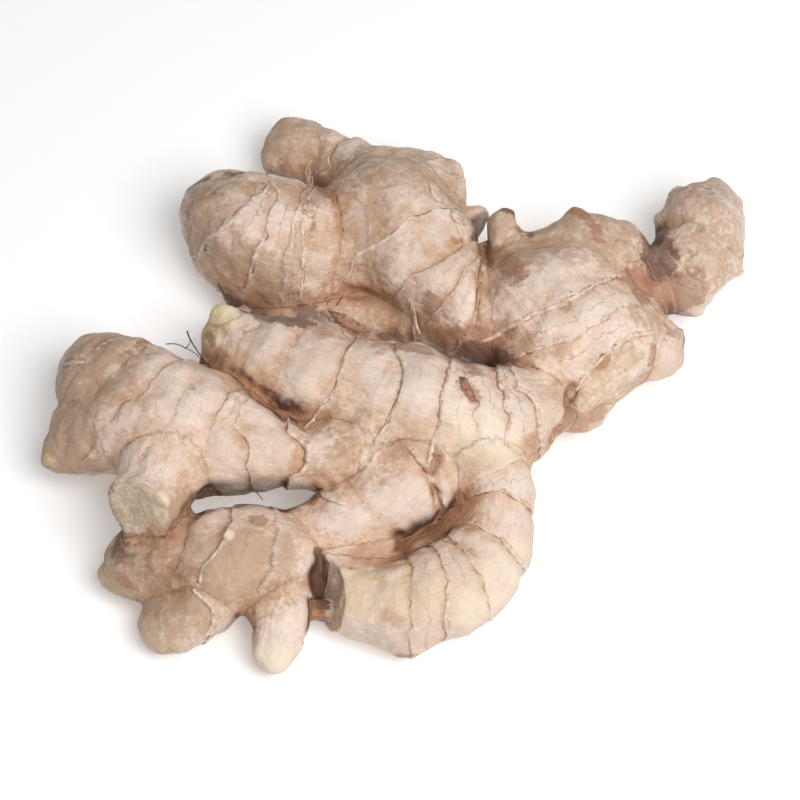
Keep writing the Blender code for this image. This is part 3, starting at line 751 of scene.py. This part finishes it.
# %% Attributes
# Stains of each kind, partly painted shade or highlight: radius in mm, strength, and points along the middle of
# each.
STAINS = {
    # Tan patches: partly the skin's own tone, partly painted shade on the left ends and edges of limbs.
    "tan": [
        (11, 0.6, [(690, 215), (705, 235), (720, 250)]),
        (11, 0.9, [(95, 365), (75, 390), (62, 430), (60, 455)]),
        (11, 1, [(150, 545), (170, 575), (130, 570)]), (9, 0.8, [(200, 200), (195, 225), (200, 245)]),
        (8, 0.8, [(285, 140), (300, 160)]), (8, 0.6, [(350, 165), (400, 165), (440, 175)]),
        (8, 0.7, [(535, 240), (570, 235), (620, 238)]), (7, 0.8, [(500, 225), (510, 260)]),
        (9, 0.7, [(170, 620), (190, 610)]), (6, 0.5, [(385, 225), (370, 260)]),
        (7, 0.6, [(360, 315), (400, 310), (430, 320)]), (8, 0.5, [(590, 400), (630, 370)]),
        (9, 1, [(165, 200), (170, 225), (185, 250)]), (9, 0.9, [(220, 262), (240, 278), (262, 286)]),
        (9, 0.9, [(215, 560), (240, 575), (255, 562)]), (8, 0.4, [(340, 440), (370, 450)]),
        (9, 0.7, [(110, 345), (90, 360), (75, 380)]),
    ],
    "green": [
        (3.4, 1, [(204, 322), (210, 328), (216, 322)]),
    ],
    # Brown flakes and patches; the last two, along the crevice under the upper body, are painted shade.
    "brown": [
        (1.6, 1, [(432, 457), (438, 460), (433, 468)]), (1.5, 1, [(463, 382), (468, 390), (473, 398)]),
        (1.4, 1, [(255, 520), (262, 520)]), (2, 0.7, [(469, 365), (474, 372)]),
        (1.5, 0.8, [(573, 209), (583, 212)]), (2.5, 0.8, [(496, 254), (508, 264), (519, 276)]),
        (2, 0.8, [(428, 308), (436, 316), (430, 300)]), (4.2, 1.1, [(660, 280), (676, 290), (690, 295)]),
        (3, 0.8, [(665, 300), (682, 305)]), (2, 0.8, [(690, 285), (700, 278)]),
        (4.5, 0.55, [(145, 535), (160, 548), (170, 560)]), (4, 0.45, [(150, 575), (175, 585), (190, 578)]),
        (1.2, 0.6, [(258, 503), (285, 503), (320, 502)]), (2, 0.4, [(190, 205), (186, 222)]),
        (1.2, 0.8, [(208, 334), (213, 342)]), (1.6, 0.8, [(400, 657), (412, 657)]),
        (1.3, 0.7, [(668, 330), (680, 335)]), (1.6, 0.7, [(683, 328), (684, 345)]),
        (1, 0.7, [(306, 212), (313, 215)]), (1.6, 0.8, [(225, 292), (240, 305), (250, 312)]),
        (1.6, 0.6, [(332, 316), (350, 326), (365, 335)]), (1, 0.5, [(119, 352), (130, 352)]),
        (1.3, 0.6, [(112, 339), (96, 349)]), (1.3, 0.6, [(80, 362), (64, 364)]),
        (1.1, 0.6, [(148, 340), (138, 345)]), (1, 0.7, [(270, 404), (274, 407)]),
        (1, 0.5, [(300, 327), (306, 330)]), (1.5, 0.6, [(135, 590), (128, 585), (122, 578)]),
        (0.9, 0.6, [(187, 392), (193, 388)]), (2, 0.6, [(306, 170), (318, 185), (330, 196)]),
        (1.6, 0.8, [(552, 438), (562, 428), (570, 414)]), (4, 0.7, [(112, 498), (122, 512), (118, 530)]),
        (3.6, 0.8, [(440, 340), (470, 345), (500, 350)]), (2.4, 0.8, [(385, 338), (405, 345), (425, 350)]),
    ],
    "red": [
        (2.6, 1, [(630, 280), (640, 276), (645, 285), (640, 298)]), (1.3, 0.9, [(653, 350), (651, 362)]),
        (1.2, 0.9, [(606, 357), (600, 364)]), (1.1, 0.7, [(455, 240), (461, 239)]),
        (1.4, 0.9, [(582, 214), (590, 222), (598, 230), (600, 240)]), (1.8, 0.5, [(283, 166), (297, 169)]),
        (1.6, 0.5, [(672, 245), (672, 262), (676, 272)]), (1.4, 0.6, [(218, 328), (226, 334)]),
        (1, 0.5, [(313, 221), (313, 228)]), (1, 0.4, [(475, 408), (474, 416)]),
        (1, 0.5, [(433, 440), (435, 446)]),
    ],
    # Dark spots and marks, and painted shade: the far knob's left flank and the crevices along the middle
    # body's upper edge.
    "dark": [
        (1, 0.9, [(520, 224), (521, 231)]), (0.9, 0.8, [(530, 229), (530, 236)]),
        (1.3, 0.7, [(498, 208), (504, 209)]), (1.1, 0.9, [(513, 211), (515, 215)]),
        (3.6, 1.3, [(652, 228), (655, 245), (660, 262)]), (3, 0.55, [(118, 530), (120, 548), (126, 560)]),
        (0.9, 0.8, [(226, 508), (240, 506), (258, 501)]), (1.1, 0.9, [(188, 189), (197, 183), (207, 179)]),
        (1.2, 0.8, [(228, 173), (236, 174), (246, 172)]), (0.9, 0.6, [(180, 230), (181, 245)]),
        (1.8, 0.8, [(232, 300), (245, 311), (262, 314)]), (1.6, 0.8, [(300, 312), (320, 316), (333, 318)]),
        (1, 0.7, [(118, 500), (120, 512), (124, 524)]), (1.6, 0.9, [(317, 556), (320, 580), (323, 608)]),
        (2.2, 1, [(262, 316), (285, 320), (305, 322)]), (2.6, 1, [(470, 352), (488, 358), (505, 362)]),
    ],
    # Rust-brown patches, and painted shade: orange-brown darkening on the undersides of limbs and in crevices.
    "rust": [
        (3, 0.9, [(565, 434), (580, 424), (597, 414)]),
        (3.6, 0.9, [(428, 332), (455, 336), (485, 338), (520, 345)]), (3, 0.6, [(540, 345), (560, 350)]),
        (3, 0.7, [(310, 180), (325, 188), (345, 190)]), (3.2, 0.6, [(335, 286), (355, 290), (378, 288)]),
        (3.4, 0.5, [(222, 365), (240, 382), (262, 395)]), (3, 0.6, [(206, 335), (210, 348)]),
        (3, 0.35, [(315, 474), (335, 478), (352, 481)]), (2.5, 0.5, [(250, 485), (270, 482)]),
        (3.5, 0.55, [(262, 590), (275, 596), (290, 588)]), (2.4, 0.5, [(470, 498), (462, 512), (470, 530)]),
        (1.5, 0.7, [(388, 614), (398, 622)]), (1.3, 0.6, [(476, 265), (480, 285), (478, 305)]),
        (4, 0.9, [(285, 188), (300, 198), (318, 192), (340, 196)]), (4, 0.6, [(225, 275), (250, 290)]),
        (3.5, 0.7, [(640, 312), (655, 322)]), (4, 0.4, [(335, 438), (355, 455), (372, 470)]),
        (3, 0.6, [(530, 442), (550, 446), (565, 436)]), (3.5, 0.7, [(256, 600), (250, 622), (254, 642)]),
        (3, 0.7, [(385, 345), (350, 335), (300, 325)]),
    ],
    "yellow": [
        (1.6, 0.9, [(46, 460), (47, 461)]), (1.8, 0.9, [(103, 574), (106, 577)]),
        (1, 0.8, [(92, 455), (93, 457)]), (3, 0.5, [(160, 640), (150, 632)]),
        (5, 0.45, [(600, 390), (625, 375)]), (6, 0.5, [(360, 600), (400, 590), (440, 590)]),
        (2.5, 0.7, [(360, 575), (372, 590), (365, 605)]),
    ],
    # Cream spots on warts and buds, and painted highlight: broad pale patches on the lit side of the curled
    # finger and the crest of the middle body.
    "cream_and_painted_highlight": [
        (3.6, 1, [(214, 308), (221, 314), (228, 306)]), (3.5, 0.8, [(262, 655), (272, 662)]),
        (1.3, 1, [(165, 497), (168, 500)]), (1, 0.9, [(227, 532), (229, 534)]),
        (1.4, 0.9, [(110, 373), (115, 369)]), (0.9, 0.8, [(157, 513), (158, 514)]),
        (5, 0.5, [(470, 610), (500, 580), (515, 560)]), (6, 0.7, [(452, 440), (480, 432), (500, 448)]),
    ],
    "grey": [
        (1, 0.8, [(566, 304), (567, 308)]), (1.1, 0.9, [(710, 190), (712, 194)]),
        (0.9, 0.8, [(700, 227), (702, 230)]), (0.8, 0.8, [(690, 253), (696, 254)]),
        (0.8, 0.8, [(729, 249), (731, 251)]), (0.9, 0.8, [(446, 623), (446, 627)]),
    ],
}


def hollows(mesh, points, rounds):
    """How far the skin around each point stands above it, in mm: positive in hollows, negative on ridges."""
    edges = np.empty(len(mesh.edges) * 2, np.int32)
    mesh.edges.foreach_get("vertices", edges)
    one, other = edges.reshape(-1, 2).T
    count = np.bincount(one, minlength=len(points)) + np.bincount(other, minlength=len(points))
    slack = points.copy()
    for _ in range(rounds):
        for axis in range(3):
            total = np.bincount(one, slack[other, axis], len(points))
            total += np.bincount(other, slack[one, axis], len(points))
            slack[:, axis] = total / count.clip(1)
    normals = np.empty(len(points) * 3, np.float32)
    mesh.vertices.foreach_get("normal", normals)
    return ((slack - points) * normals.reshape(-1, 3)).sum(1)


def write_values(mesh, name, values, kind="FLOAT"):
    layer = mesh.attributes.new(name, kind, "POINT")
    layer.data.foreach_set("vector" if kind == "FLOAT_VECTOR" else "value", values.astype(np.float32).ravel())


SEAM_FADE = (0.3, 3.0)        # mm from a seam, from no ring to a whole one
CRACK_REACH = 1.6             # mm either side of a crack that are given to it
PROBES = (3.0, 8.0)           # mm off the skin, where it is tested how closed in it is
STAIN_FADE = (0.35, 2.1)      # of a stain's radius, from whole to gone
SEAM_MOST = 6                 # mm, beyond which a seam's distance doesn't matter
HOLLOW_ROUNDS = 70      # of evening out the skin, to find its hollows

mesh = skin.data
points = read_points(mesh)
found = survey(points)
normals = np.empty(len(points) * 3, np.float32)
mesh.vertices.foreach_get("normal", normals)
normals = normals.reshape(-1, 3)
alone = smooth(found["seam"], *SEAM_FADE)
scar = found["scar"] * alone * (1 - smooth(np.abs(found["ring"]), RING_REACH - 1, RING_REACH))
ring = found["ring"]
for depth, line in crack_lines:
    if len(line) > 1:
        some, far, offset, along, share = near_line(points, line, CRACK_SPAN)
        side = np.sign((np.cross(along, normals[some]) * offset).sum(1))
        fade = smooth(share, 0, 0.1) * smooth(1 - share, 0, 0.1)
        take = far < np.minimum(CRACK_REACH, np.abs(ring[some]) + 0.6 * (1 - scar[some]))
        ring[some] = np.where(take, side * far, ring[some])
        scar[some] = np.where(take, np.minimum(1, depth * 1.6) * fade, scar[some])
write_values(mesh, "ring", ring.clip(-RING_REACH, RING_REACH))
write_values(mesh, "scar", scar)
write_values(mesh, "cut", found["cut"])
write_values(mesh, "seam", found["seam"].clip(0, SEAM_MOST))
write_values(mesh, "grain", found["grain"], "FLOAT_VECTOR")
# Hollow depth: the skin material paints shade into hollows and a highlight onto ridges from it.
write_values(mesh, "deep_hollow", hollows(mesh, points, HOLLOW_ROUNDS))
skin_tree = tree_of(mesh)
# How closed in each point is: the skin material paints shade into creases and crevices from it.
closed_in = np.ones(len(points))
for reach in PROBES:
    probes = (points - FLOOR_LIFT + normals * reach) * MM
    free = np.array([skin_tree.find_nearest(probe)[3] for probe in probes.tolist()]) / (reach * MM)
    closed_in *= free.clip(0, 1)
write_values(mesh, "closed_in", 1 - closed_in)
for kind, noted in STAINS.items():
    stain = np.zeros(len(points))
    for radius, strength, line in noted:
        landed = carry(skin_tree, line) + FLOOR_LIFT
        if len(landed) > 1:
            some, far, *_ = near_line(points, landed, STAIN_FADE[1] * radius)
            stain[some] = np.maximum(stain[some], strength * (1 - smooth(far / radius, *STAIN_FADE)))
    write_values(mesh, kind, stain)
print("attributes:", [layer.name for layer in mesh.attributes if not layer.name.startswith(".")])

# %% [markdown]
# ## Writing materials as sums
#
# A material is a drawing made of small calculations. The Val class lets them be written as ordinary Python
# sums: each sum quietly adds the Math node that works it out.

# %% Shader helpers


class Val:
    """A shader value that takes part in Python sums."""

    def __init__(self, sheet, socket):
        self.sheet, self.socket = sheet, socket

    def math(self, operation, *others, clamp=False):
        settings = {"operation": operation, "use_clamp": clamp}
        return self.sheet.node("Math", settings, dict(enumerate((self, *others))))

    def __add__(self, other): return self.math("ADD", other)
    def __sub__(self, other): return self.math("SUBTRACT", other)
    def __mul__(self, other): return self.math("MULTIPLY", other)
    def __abs__(self): return self.math("ABSOLUTE")
    def held(self): return self.math("ADD", 0.0, clamp=True)

    def ramp(self, start, end, low=0.0, high=1.0):
        """Goes smoothly from low to high as the value goes from start to end."""
        return self.sheet.node("MapRange", {"interpolation_type": "SMOOTHSTEP"},
                               {0: self, 1: start, 2: end, 3: low, 4: high})


class Sheet:
    """A material's node sheet."""

    def __init__(self, name):
        self.material = bpy.data.materials.new(name)
        self.material.use_nodes = True
        self.tree = self.material.node_tree
        self.shader = self.tree.nodes["Principled BSDF"]
        self.place = self.scaled(self.node("TexCoord", {}, {}, out="Object"), 1 / MM)

    def feed(self, socket, value):
        if isinstance(value, Val):
            self.tree.links.new(value.socket, socket)
        else:
            socket.default_value = value

    def node(self, kind, settings, sockets, out=0):
        made = self.tree.nodes.new("ShaderNode" + kind)
        for key, value in settings.items():
            setattr(made, key, value)
        for key, value in sockets.items():
            self.feed(made.inputs[key], value)
        return Val(self, made.outputs[out])

    def scaled(self, vector, size):
        return self.node("VectorMath", {"operation": "SCALE"}, {0: vector, "Scale": size})

    def stretched(self, vector, sizes):
        return self.node("VectorMath", {"operation": "MULTIPLY"}, {0: vector, 1: sizes})

    def value(self, name):
        return self.node("Attribute", {"attribute_name": name}, {}, out="Fac")

    def vector(self, name):
        return self.node("Attribute", {"attribute_name": name}, {}, out="Vector")

    def noise(self, vector, size, detail=2.0, rough=0.5):
        """Noise from 0 to 1, with spots about that many mm across."""
        sockets = {"Vector": vector, "Scale": 1 / size, "Detail": detail, "Roughness": rough}
        return self.node("TexNoise", {}, sockets)

    def mix(self, share, one, other):
        return self.node("Mix", {"data_type": "RGBA"}, {0: share, 6: one, 7: other}, out=2)

    def bump(self, height, depth):
        """A bump from a height in mm."""
        return self.node("Bump", {}, {"Height": height * (depth * MM), "Distance": 1.0, "Strength": 1.0})


def colour(red, green, blue):
    """A colour as a picture shows it, from 0 to 255, as the linear light that a shader needs."""
    linear = [((c / 255 + 0.055) / 1.055) ** 2.4 if c > 10 else c / 255 / 12.92 for c in (red, green, blue)]
    return (*linear, 1.0)


# %% [markdown]
# ## The skin
#
# Ginger's skin is thin, dry and pale, with the fibres of the flesh showing through as faint lengthwise streaks.
# Brown shade is painted into hollows and creases, and brown gathers under the edge of each old scale. The ring
# itself is a hair-thin torn brown line, with short pale tatters of the old scale on the side towards the stem.

# %% Skin material
# Crease, crevice, hollow and pit are tones of painted shade; ridge is a tone of painted highlight.
TONES = {name: colour(*tone) for name, tone in {
    "pale": (235, 208, 187), "tan": (205, 167, 135), "warm": (212, 170, 138), "soft_streak": (190, 155, 128),
    "streak": (186, 148, 120), "speck": (178, 138, 108), "chalk": (244, 229, 216), "freckle": (164, 122, 94),
    "painted_shade_crease": (180, 136, 106), "painted_shade_crevice": (74, 46, 34), "painted_shade_hollow": (176, 128, 96), "ridge": (240, 226, 215),
    "pit": (92, 58, 42), "tatter": (243, 230, 219), "under_scale": (186, 142, 114), "tear": (146, 98, 72),
    "flesh": (218, 197, 172), "dry_flesh": (196, 172, 148), "rim": (202, 178, 150)}.items()}

s = Sheet("ginger_skin")
place, grain = s.place, s.vector("grain")
ring_far, scar, seam = s.value("ring"), s.value("scar"), s.value("seam")
hollow_shade_and_highlight, closed_in_shade_mask = s.value("deep_hollow"), s.value("closed_in")

slow = s.noise(place, 22.0, 2.0)
patchy = s.noise(place, 6.0, 4.0, 0.6)
speck = s.noise(place, 1.3, 3.0, 0.6)
freckles = s.noise(place, 0.55, 2.0)
streaks = s.noise(s.stretched(grain, (0.12, 1.0, 1.0)), 0.5, 3.0, 0.6)
soft_streaks = s.noise(s.stretched(grain, (0.2, 1.0, 1.0)), 1.6, 2.0)
breakup = (patchy - 0.5) * 1.5 + (speck - 0.5) * 1.0


def lay(under, *layers):
    """Lays colours over one another. Each layer is how much of it shows, and its tone."""
    for share, tone in layers:
        under = s.mix(share, under, TONES[tone])
    return under


# The last five are painted light: brown shade painted where skin faces other skin and into hollows, darkest in
# pits, and a painted highlight that makes ridges paler.
skin_colour = lay(
    TONES["pale"], (slow.ramp(0.35, 0.68), "tan"), (patchy.ramp(0.45, 0.75, 0, 0.55), "warm"),
    ((soft_streaks - 0.5).ramp(0.0, 0.25, 0, 0.35), "soft_streak"),
    ((streaks - 0.5).ramp(0.02, 0.2, 0, 0.42), "streak"),
    (speck.ramp(0.52, 0.72, 0, 0.45), "speck"), (speck.ramp(0.46, 0.28, 0, 0.5), "chalk"),
    (freckles.ramp(0.60, 0.74, 0, 0.35) * patchy.ramp(0.4, 0.6), "freckle"),
    ((closed_in_shade_mask + breakup * 0.2).ramp(0.2, 0.8, 0, 0.75), "painted_shade_crease"),
    ((closed_in_shade_mask + breakup * 0.08).ramp(0.55, 0.95, 0, 0.95), "painted_shade_crevice"),
    ((hollow_shade_and_highlight + (patchy - 0.5) * 0.3).ramp(0.1, 1.3, 0, 0.85), "painted_shade_hollow"),
    ((hollow_shade_and_highlight * -1).ramp(0.15, 0.9, 0, 0.45), "ridge"), (hollow_shade_and_highlight.ramp(1.2, 3.2, 0, 0.9), "pit"))

# Stains and patches of painted shade or highlight: tone, how much of it shows, and where its edge begins and
# ends.
# The patchy noise breaks them up, so that none has a plain round edge.
SOFT_EDGE, FIRM_EDGE = (0.1, 0.9), (0.22, 0.75)
STAIN_COLOURS = {
    "tan": ((182, 147, 117), 0.75, SOFT_EDGE), "rust": ((182, 134, 100), 0.6, SOFT_EDGE),
    "yellow": ((226, 200, 150), 0.45, SOFT_EDGE), "cream_and_painted_highlight": ((246, 230, 206), 0.6, SOFT_EDGE),
    "green": ((216, 198, 144), 0.7, SOFT_EDGE), "brown": ((152, 104, 76), 0.62, FIRM_EDGE),
    "red": ((168, 112, 90), 0.6, FIRM_EDGE), "dark": ((96, 66, 52), 0.7, FIRM_EDGE),
    "grey": ((150, 130, 114), 0.55, FIRM_EDGE)}
for kind, (tone, cover, edge) in STAIN_COLOURS.items():
    stain = s.value(kind)
    share = (stain + breakup * stain.ramp(0.02, 0.3)).ramp(*edge) * cover
    skin_colour = s.mix(share, skin_colour, colour(*tone))

# Rings: a torn thin line, tatters before it and a stain after it.
wobble = (s.noise(place, 1.0, 2.0) - 0.5) * 0.35 + (s.noise(place, 3.5, 1.0) - 0.5) * 0.5
past = ring_far + wobble
shred = s.noise(s.stretched(grain, (0.5, 2.8, 2.8)), 1.0, 1.0)
tatter = (past + shred * 2.0 - 0.3).ramp(0.0, 0.6) * past.ramp(0.1, -0.05) * scar
under_scale = past.ramp(0.0, 0.2) * past.ramp(1.8, 0.2) * scar * (s.noise(place, 3.0, 3.0) * 2.4 - 0.8).held()
line_break = s.noise(place, 2.2, 2.0).ramp(0.36, 0.6, 0.15, 1.0)
thin_line = abs(past).ramp(0.24, 0.06) * scar.ramp(0.15, 1.0) * line_break
skin_colour = lay(skin_colour, ((tatter * 0.5).held(), "tatter"), ((under_scale * 0.28).held(), "under_scale"),
                  ((thin_line * 0.7).held(), "tear"))

# Cut ends: bare flesh that has dried to a pale grey brown.
cut = s.value("cut") + (speck - 0.5) * 0.5
bare = cut.ramp(-0.1, 0.25) * seam.ramp(0.2, 0.9)
flesh = lay(TONES["flesh"], (s.noise(place, 1.4, 4.0, 0.65).ramp(0.35, 0.65), "dry_flesh"),
            ((cut.ramp(1.2, 0.2) * 0.35).held(), "rim"))
skin_colour = s.mix(bare, skin_colour, flesh)

relief = streaks * 0.20 + soft_streaks * 0.22 + speck * 0.24 + patchy * 0.42 + freckles * 0.04
relief = relief - thin_line * 0.22 + tatter * 0.10 + bare * (s.noise(place, 0.9, 3.0) * 0.25)
s.feed(s.shader.inputs["Base Color"], skin_colour)
s.feed(s.shader.inputs["Roughness"], patchy.ramp(0.3, 0.8, 0.62, 0.8))
s.feed(s.shader.inputs["Normal"], s.bump(relief, 1.0))
for socket, value in (("Specular IOR Level", 0.35), ("Subsurface Weight", 0.12),
                      ("Subsurface Radius", (1.0, 0.45, 0.25)), ("Subsurface Scale", 1.5 * MM)):
    s.shader.inputs[socket].default_value = value
skin.data.materials.clear()
skin.data.materials.append(s.material)
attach(skin, "root")
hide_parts("ginger_root")
print("the skin material has", len(s.tree.nodes), "nodes")

# %% [markdown]
# ## Torn scales, flakes and hair roots
#
# The finest parts stand clear of the skin, so they are pieces of their own. Along the strongest rings runs a
# strip of dry scale with a ragged free edge. A few loose flakes and some hair roots are laid where they were
# seen.

# %% Torn scales and hair roots
TORN = 0.8                   # strength from which a ring has a torn strip of scale
STRIP_STEP = 2.2             # points of the picture from one corner of a strip to the next
STRIP_THICKNESS, FLAKE_THICKNESS = 0.07, 0.06      # mm
HAIR_TAPER = 0.6             # share of its radius that a hair loses on the way to its end
draw = random.Random("extras")


def landing(across, down, lift):
    """Where a picture point lands on the skin, lifted off it by so many mm, and the way out there."""
    place, normal, *_ = skin_tree.ray_cast(Vector(EYE * MM), Vector(look(across, down)))
    return (np.array(place) / MM + np.array(normal) * lift, np.array(normal)) if place else (None, None)


def at_height(across, down, height):
    """The point that is seen at a picture point and lies that many mm above the table."""
    ahead = look(across, down)
    return EYE + ahead * (height - EYE[2]) / ahead[2]


def finish_piece(thing, material):
    thing.data.materials.clear()
    thing.data.materials.append(material)
    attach(thing, "root")


def mesh_piece(name, corners, faces, thickness, material):
    mesh = bpy.data.meshes.new(name)
    mesh.from_pydata([tuple(corner * MM) for corner in corners], [], faces)
    piece = bpy.data.objects.new(name, mesh)
    bpy.context.scene.collection.objects.link(piece)
    apply_modifier(piece, "body", "SOLIDIFY", thickness=thickness * MM, offset=0)
    mesh.shade_smooth()
    finish_piece(piece, material)


def hair(name, points, radius, material):
    """A hair root: a thin tube through points in mm, thinner towards its end."""
    curve = bpy.data.curves.new(name, "CURVE")
    curve.dimensions, curve.bevel_depth, curve.bevel_resolution = "3D", 1.0, 2
    curve.use_fill_caps = True
    count = len(points)
    line = smooth_line([(*point, radius * (1 - HAIR_TAPER * i / count)) for i, point in enumerate(points)])
    spline = curve.splines.new("POLY")
    spline.points.add(len(line) - 1)
    for point, (x, y, z, thick) in zip(spline.points, line):
        point.co = (x * MM, y * MM, z * MM, 1)
        point.radius = thick * MM
    thing = bpy.data.objects.new(name, curve)
    bpy.context.scene.collection.objects.link(thing)
    activate(thing)
    bpy.ops.object.convert(target="MESH")
    finish_piece(bpy.context.object, material)


def dry(name, light, dark, size):
    sheet = Sheet(name)
    mottle = sheet.noise(sheet.place, size, 4.0, 0.6)
    tone = sheet.mix(mottle.ramp(0.35, 0.65), colour(*light), colour(*dark))
    sheet.feed(sheet.shader.inputs["Base Color"], tone)
    sheet.feed(sheet.shader.inputs["Normal"], sheet.bump(mottle, 0.2))
    sheet.shader.inputs["Roughness"].default_value = 0.75
    return sheet.material


PAPER = dry("dry_scale", (236, 215, 197), (206, 172, 146), 1.6)
BROWN = dry("brown_scale", (180, 134, 106), (140, 94, 70), 0.8)
DARK = dry("dark_hair", (66, 52, 44), (38, 30, 26), 0.8)
WHITE = dry("pale_hair", (226, 208, 184), (190, 166, 138), 0.8)

strips = 0
for name, noted in SCARS.items():
    middle = MIDDLES[name]
    for strength, points in noted:
        line = carry(skin_tree, points, STRIP_STEP)
        if strength < TORN or len(line) < 5:
            continue
        corners, faces = [], []
        along = unit(np.gradient(line, axis=0))
        wide = 0.9 * strength
        for i, spot in enumerate(line):
            _, normal, *_ = skin_tree.find_nearest(Vector(spot * MM))
            normal = np.array(normal)
            ahead = unit(np.cross(normal, along[i]))
            probe = np.array([spot + FLOOR_LIFT, spot + ahead + FLOOR_LIFT])
            _, _, reached, _ = middle.measure(probe)
            ahead = ahead if reached[1] > reached[0] else -ahead
            end = min(i, len(line) - 1 - i) / 2
            wide = 0.55 * wide + 0.45 * draw.uniform(0.1, 1.1) * strength
            reach = wide * min(1, 0.1 + end)
            corners += [spot - ahead * 0.8 - normal * 0.12, spot - ahead * 0.2 + normal * 0.06,
                        spot + ahead * reach * 0.8 + normal * draw.uniform(0.02, 0.22) * reach]
            if i:
                a = 3 * i
                faces += [(a - 3, a - 2, a + 1, a), (a - 2, a - 1, a + 2, a + 1)]
        mesh_piece(f"scale_edge_{strips}", corners, faces, STRIP_THICKNESS, PAPER)
        strips += 1

FLAKES = [   # outline in the picture, lift in mm, material
    ([(432, 453), (441, 455), (441, 462), (437, 468), (433, 474), (424, 472), (422, 469), (428, 463)],
     0.15, BROWN),
    ([(459, 377), (465, 378), (470, 386), (474, 391), (477, 401), (472, 402), (466, 396), (461, 388)],
     0.15, BROWN),
    ([(317, 493), (326, 491), (338, 496), (350, 503), (345, 507), (334, 503), (324, 499)], 0.9, PAPER),
    ([(238, 306), (245, 303), (252, 308), (250, 313), (241, 312)], 0.8, PAPER),
    ([(449, 209), (455, 212), (462, 218), (466, 226), (459, 224), (452, 219)], 0.35, PAPER),
    ([(414, 305), (417, 312), (419, 324), (422, 334), (417, 335), (414, 324), (412, 313)], 0.5, PAPER),
    ([(329, 311), (345, 314), (358, 322), (370, 332), (356, 332), (342, 326)], 0.4, BROWN),
    ([(303, 205), (310, 200), (317, 206), (316, 214), (309, 218), (303, 213)], 0.3, PAPER),
]
for number, (outline, lift, material) in enumerate(FLAKES):
    rim = [landing(across, down, 0.05) for across, down in outline]
    if any(spot is None for spot, _ in rim):
        continue
    centre = np.mean([spot for spot, _ in rim], 0) + np.mean([normal for _, normal in rim], 0) * lift
    inner = [spot * 0.5 + centre * 0.5 + normal * lift * 0.35 for spot, normal in rim]
    rim = [spot + normal * lift * draw.uniform(0.1, 1.0) for spot, normal in rim]
    count = len(rim)
    faces = [(i, (i + 1) % count, count + (i + 1) % count, count + i) for i in range(count)]
    faces += [(count + i, count + (i + 1) % count, 2 * count) for i in range(count)]
    mesh_piece(f"flake_{number}", [*rim, *inner, centre], faces, FLAKE_THICKNESS, material)

HAIRS = [    # radius in mm, material, points as (across, down, height above the table)
    (0.20, DARK, [(187, 331, 27), (190, 339, 27), (196, 349, 26), (204, 360, 25), (213, 371, 25),
                  (226, 384, 26)]),
    (0.15, DARK, [(166, 344, 28), (176, 344, 28), (186, 348, 27), (196, 354, 26), (204, 363, 25)]),
    (0.13, DARK, [(185, 349, 27), (190, 343, 27), (189, 336, 28)]),
    (0.17, DARK, [(252, 489, 12), (257, 493, 12), (263, 500, 12)]),
    (0.14, DARK, [(217, 281, 14), (220, 287, 13), (225, 294, 12)]),
    (0.11, DARK, [(216, 290, 14), (221, 292, 13), (228, 296, 12)]),
]
HAIRS += [(draw.uniform(0.07, 0.14), draw.choice((DARK, WHITE, WHITE)),
           [(300 + k * 4 + draw.uniform(-3, 3), 306 + draw.uniform(-2, 3), 12),
            (305 + k * 4 + draw.uniform(-4, 4), 300 + draw.uniform(-2, 2), 14),
            (311 + k * 4 + draw.uniform(-4, 6), 296 + draw.uniform(-3, 3), 13)]) for k in range(9)]
HAIRS += [(draw.uniform(0.06, 0.11), WHITE,
           [(309 + draw.uniform(-3, 5), 162 + 5 * (k % 5) + draw.uniform(-2, 2), 20),
            (309 + draw.uniform(-4, 4), 172 + 5 * (k % 5), 21),
            (308 + draw.uniform(-4, 5), 182 + 4 * (k % 5), 22)]) for k in range(14)]
for number, (radius, material, points) in enumerate(HAIRS):
    hair(f"hair_{number}", [at_height(*point) for point in points], radius, material)
print(strips, "strips of scale,", len(FLAKES), "flakes and", len(HAIRS), "hair roots")

# %% [markdown]
# ## Floor and light
#
# A matt white floor and large soft lights, as for a picture that is later cut out on white.

# %% Floor and light
bpy.ops.mesh.primitive_plane_add(size=3.0, location=(0, 0, 0))
floor = bpy.context.object
floor.name = "floor"
paper = Sheet("floor_paper")
paper.shader.inputs["Base Color"].default_value = (0.93, 0.93, 0.93, 1)
paper.shader.inputs["Emission Color"].default_value = (1, 1, 1, 1)
paper.shader.inputs["Emission Strength"].default_value = 0.2
paper.shader.inputs["Roughness"].default_value = 0.9
floor.data.materials.append(paper.material)

world = bpy.data.worlds.new("soft_white")
bpy.context.scene.world = world
world.use_nodes = True
world.node_tree.nodes["Background"].inputs["Color"].default_value = (1, 1, 1, 1)
world.node_tree.nodes["Background"].inputs["Strength"].default_value = 0.175


def soft_light(name, place, size, power):
    lamp = bpy.data.lights.new(name, "AREA")
    lamp.shape, lamp.size, lamp.energy = "DISK", size, power
    light = bpy.data.objects.new(name, lamp)
    light.location = place
    light.rotation_euler = (Vector(AIM * MM) - light.location).to_track_quat("-Z", "Y").to_euler()
    bpy.context.scene.collection.objects.link(light)


soft_light("key", (0.36, -0.38, 0.82), 0.7, 8.3)
soft_light("top", (-0.1, 0.0, 0.9), 0.5, 1.0)
bpy.context.scene.view_settings.view_transform = "Standard"
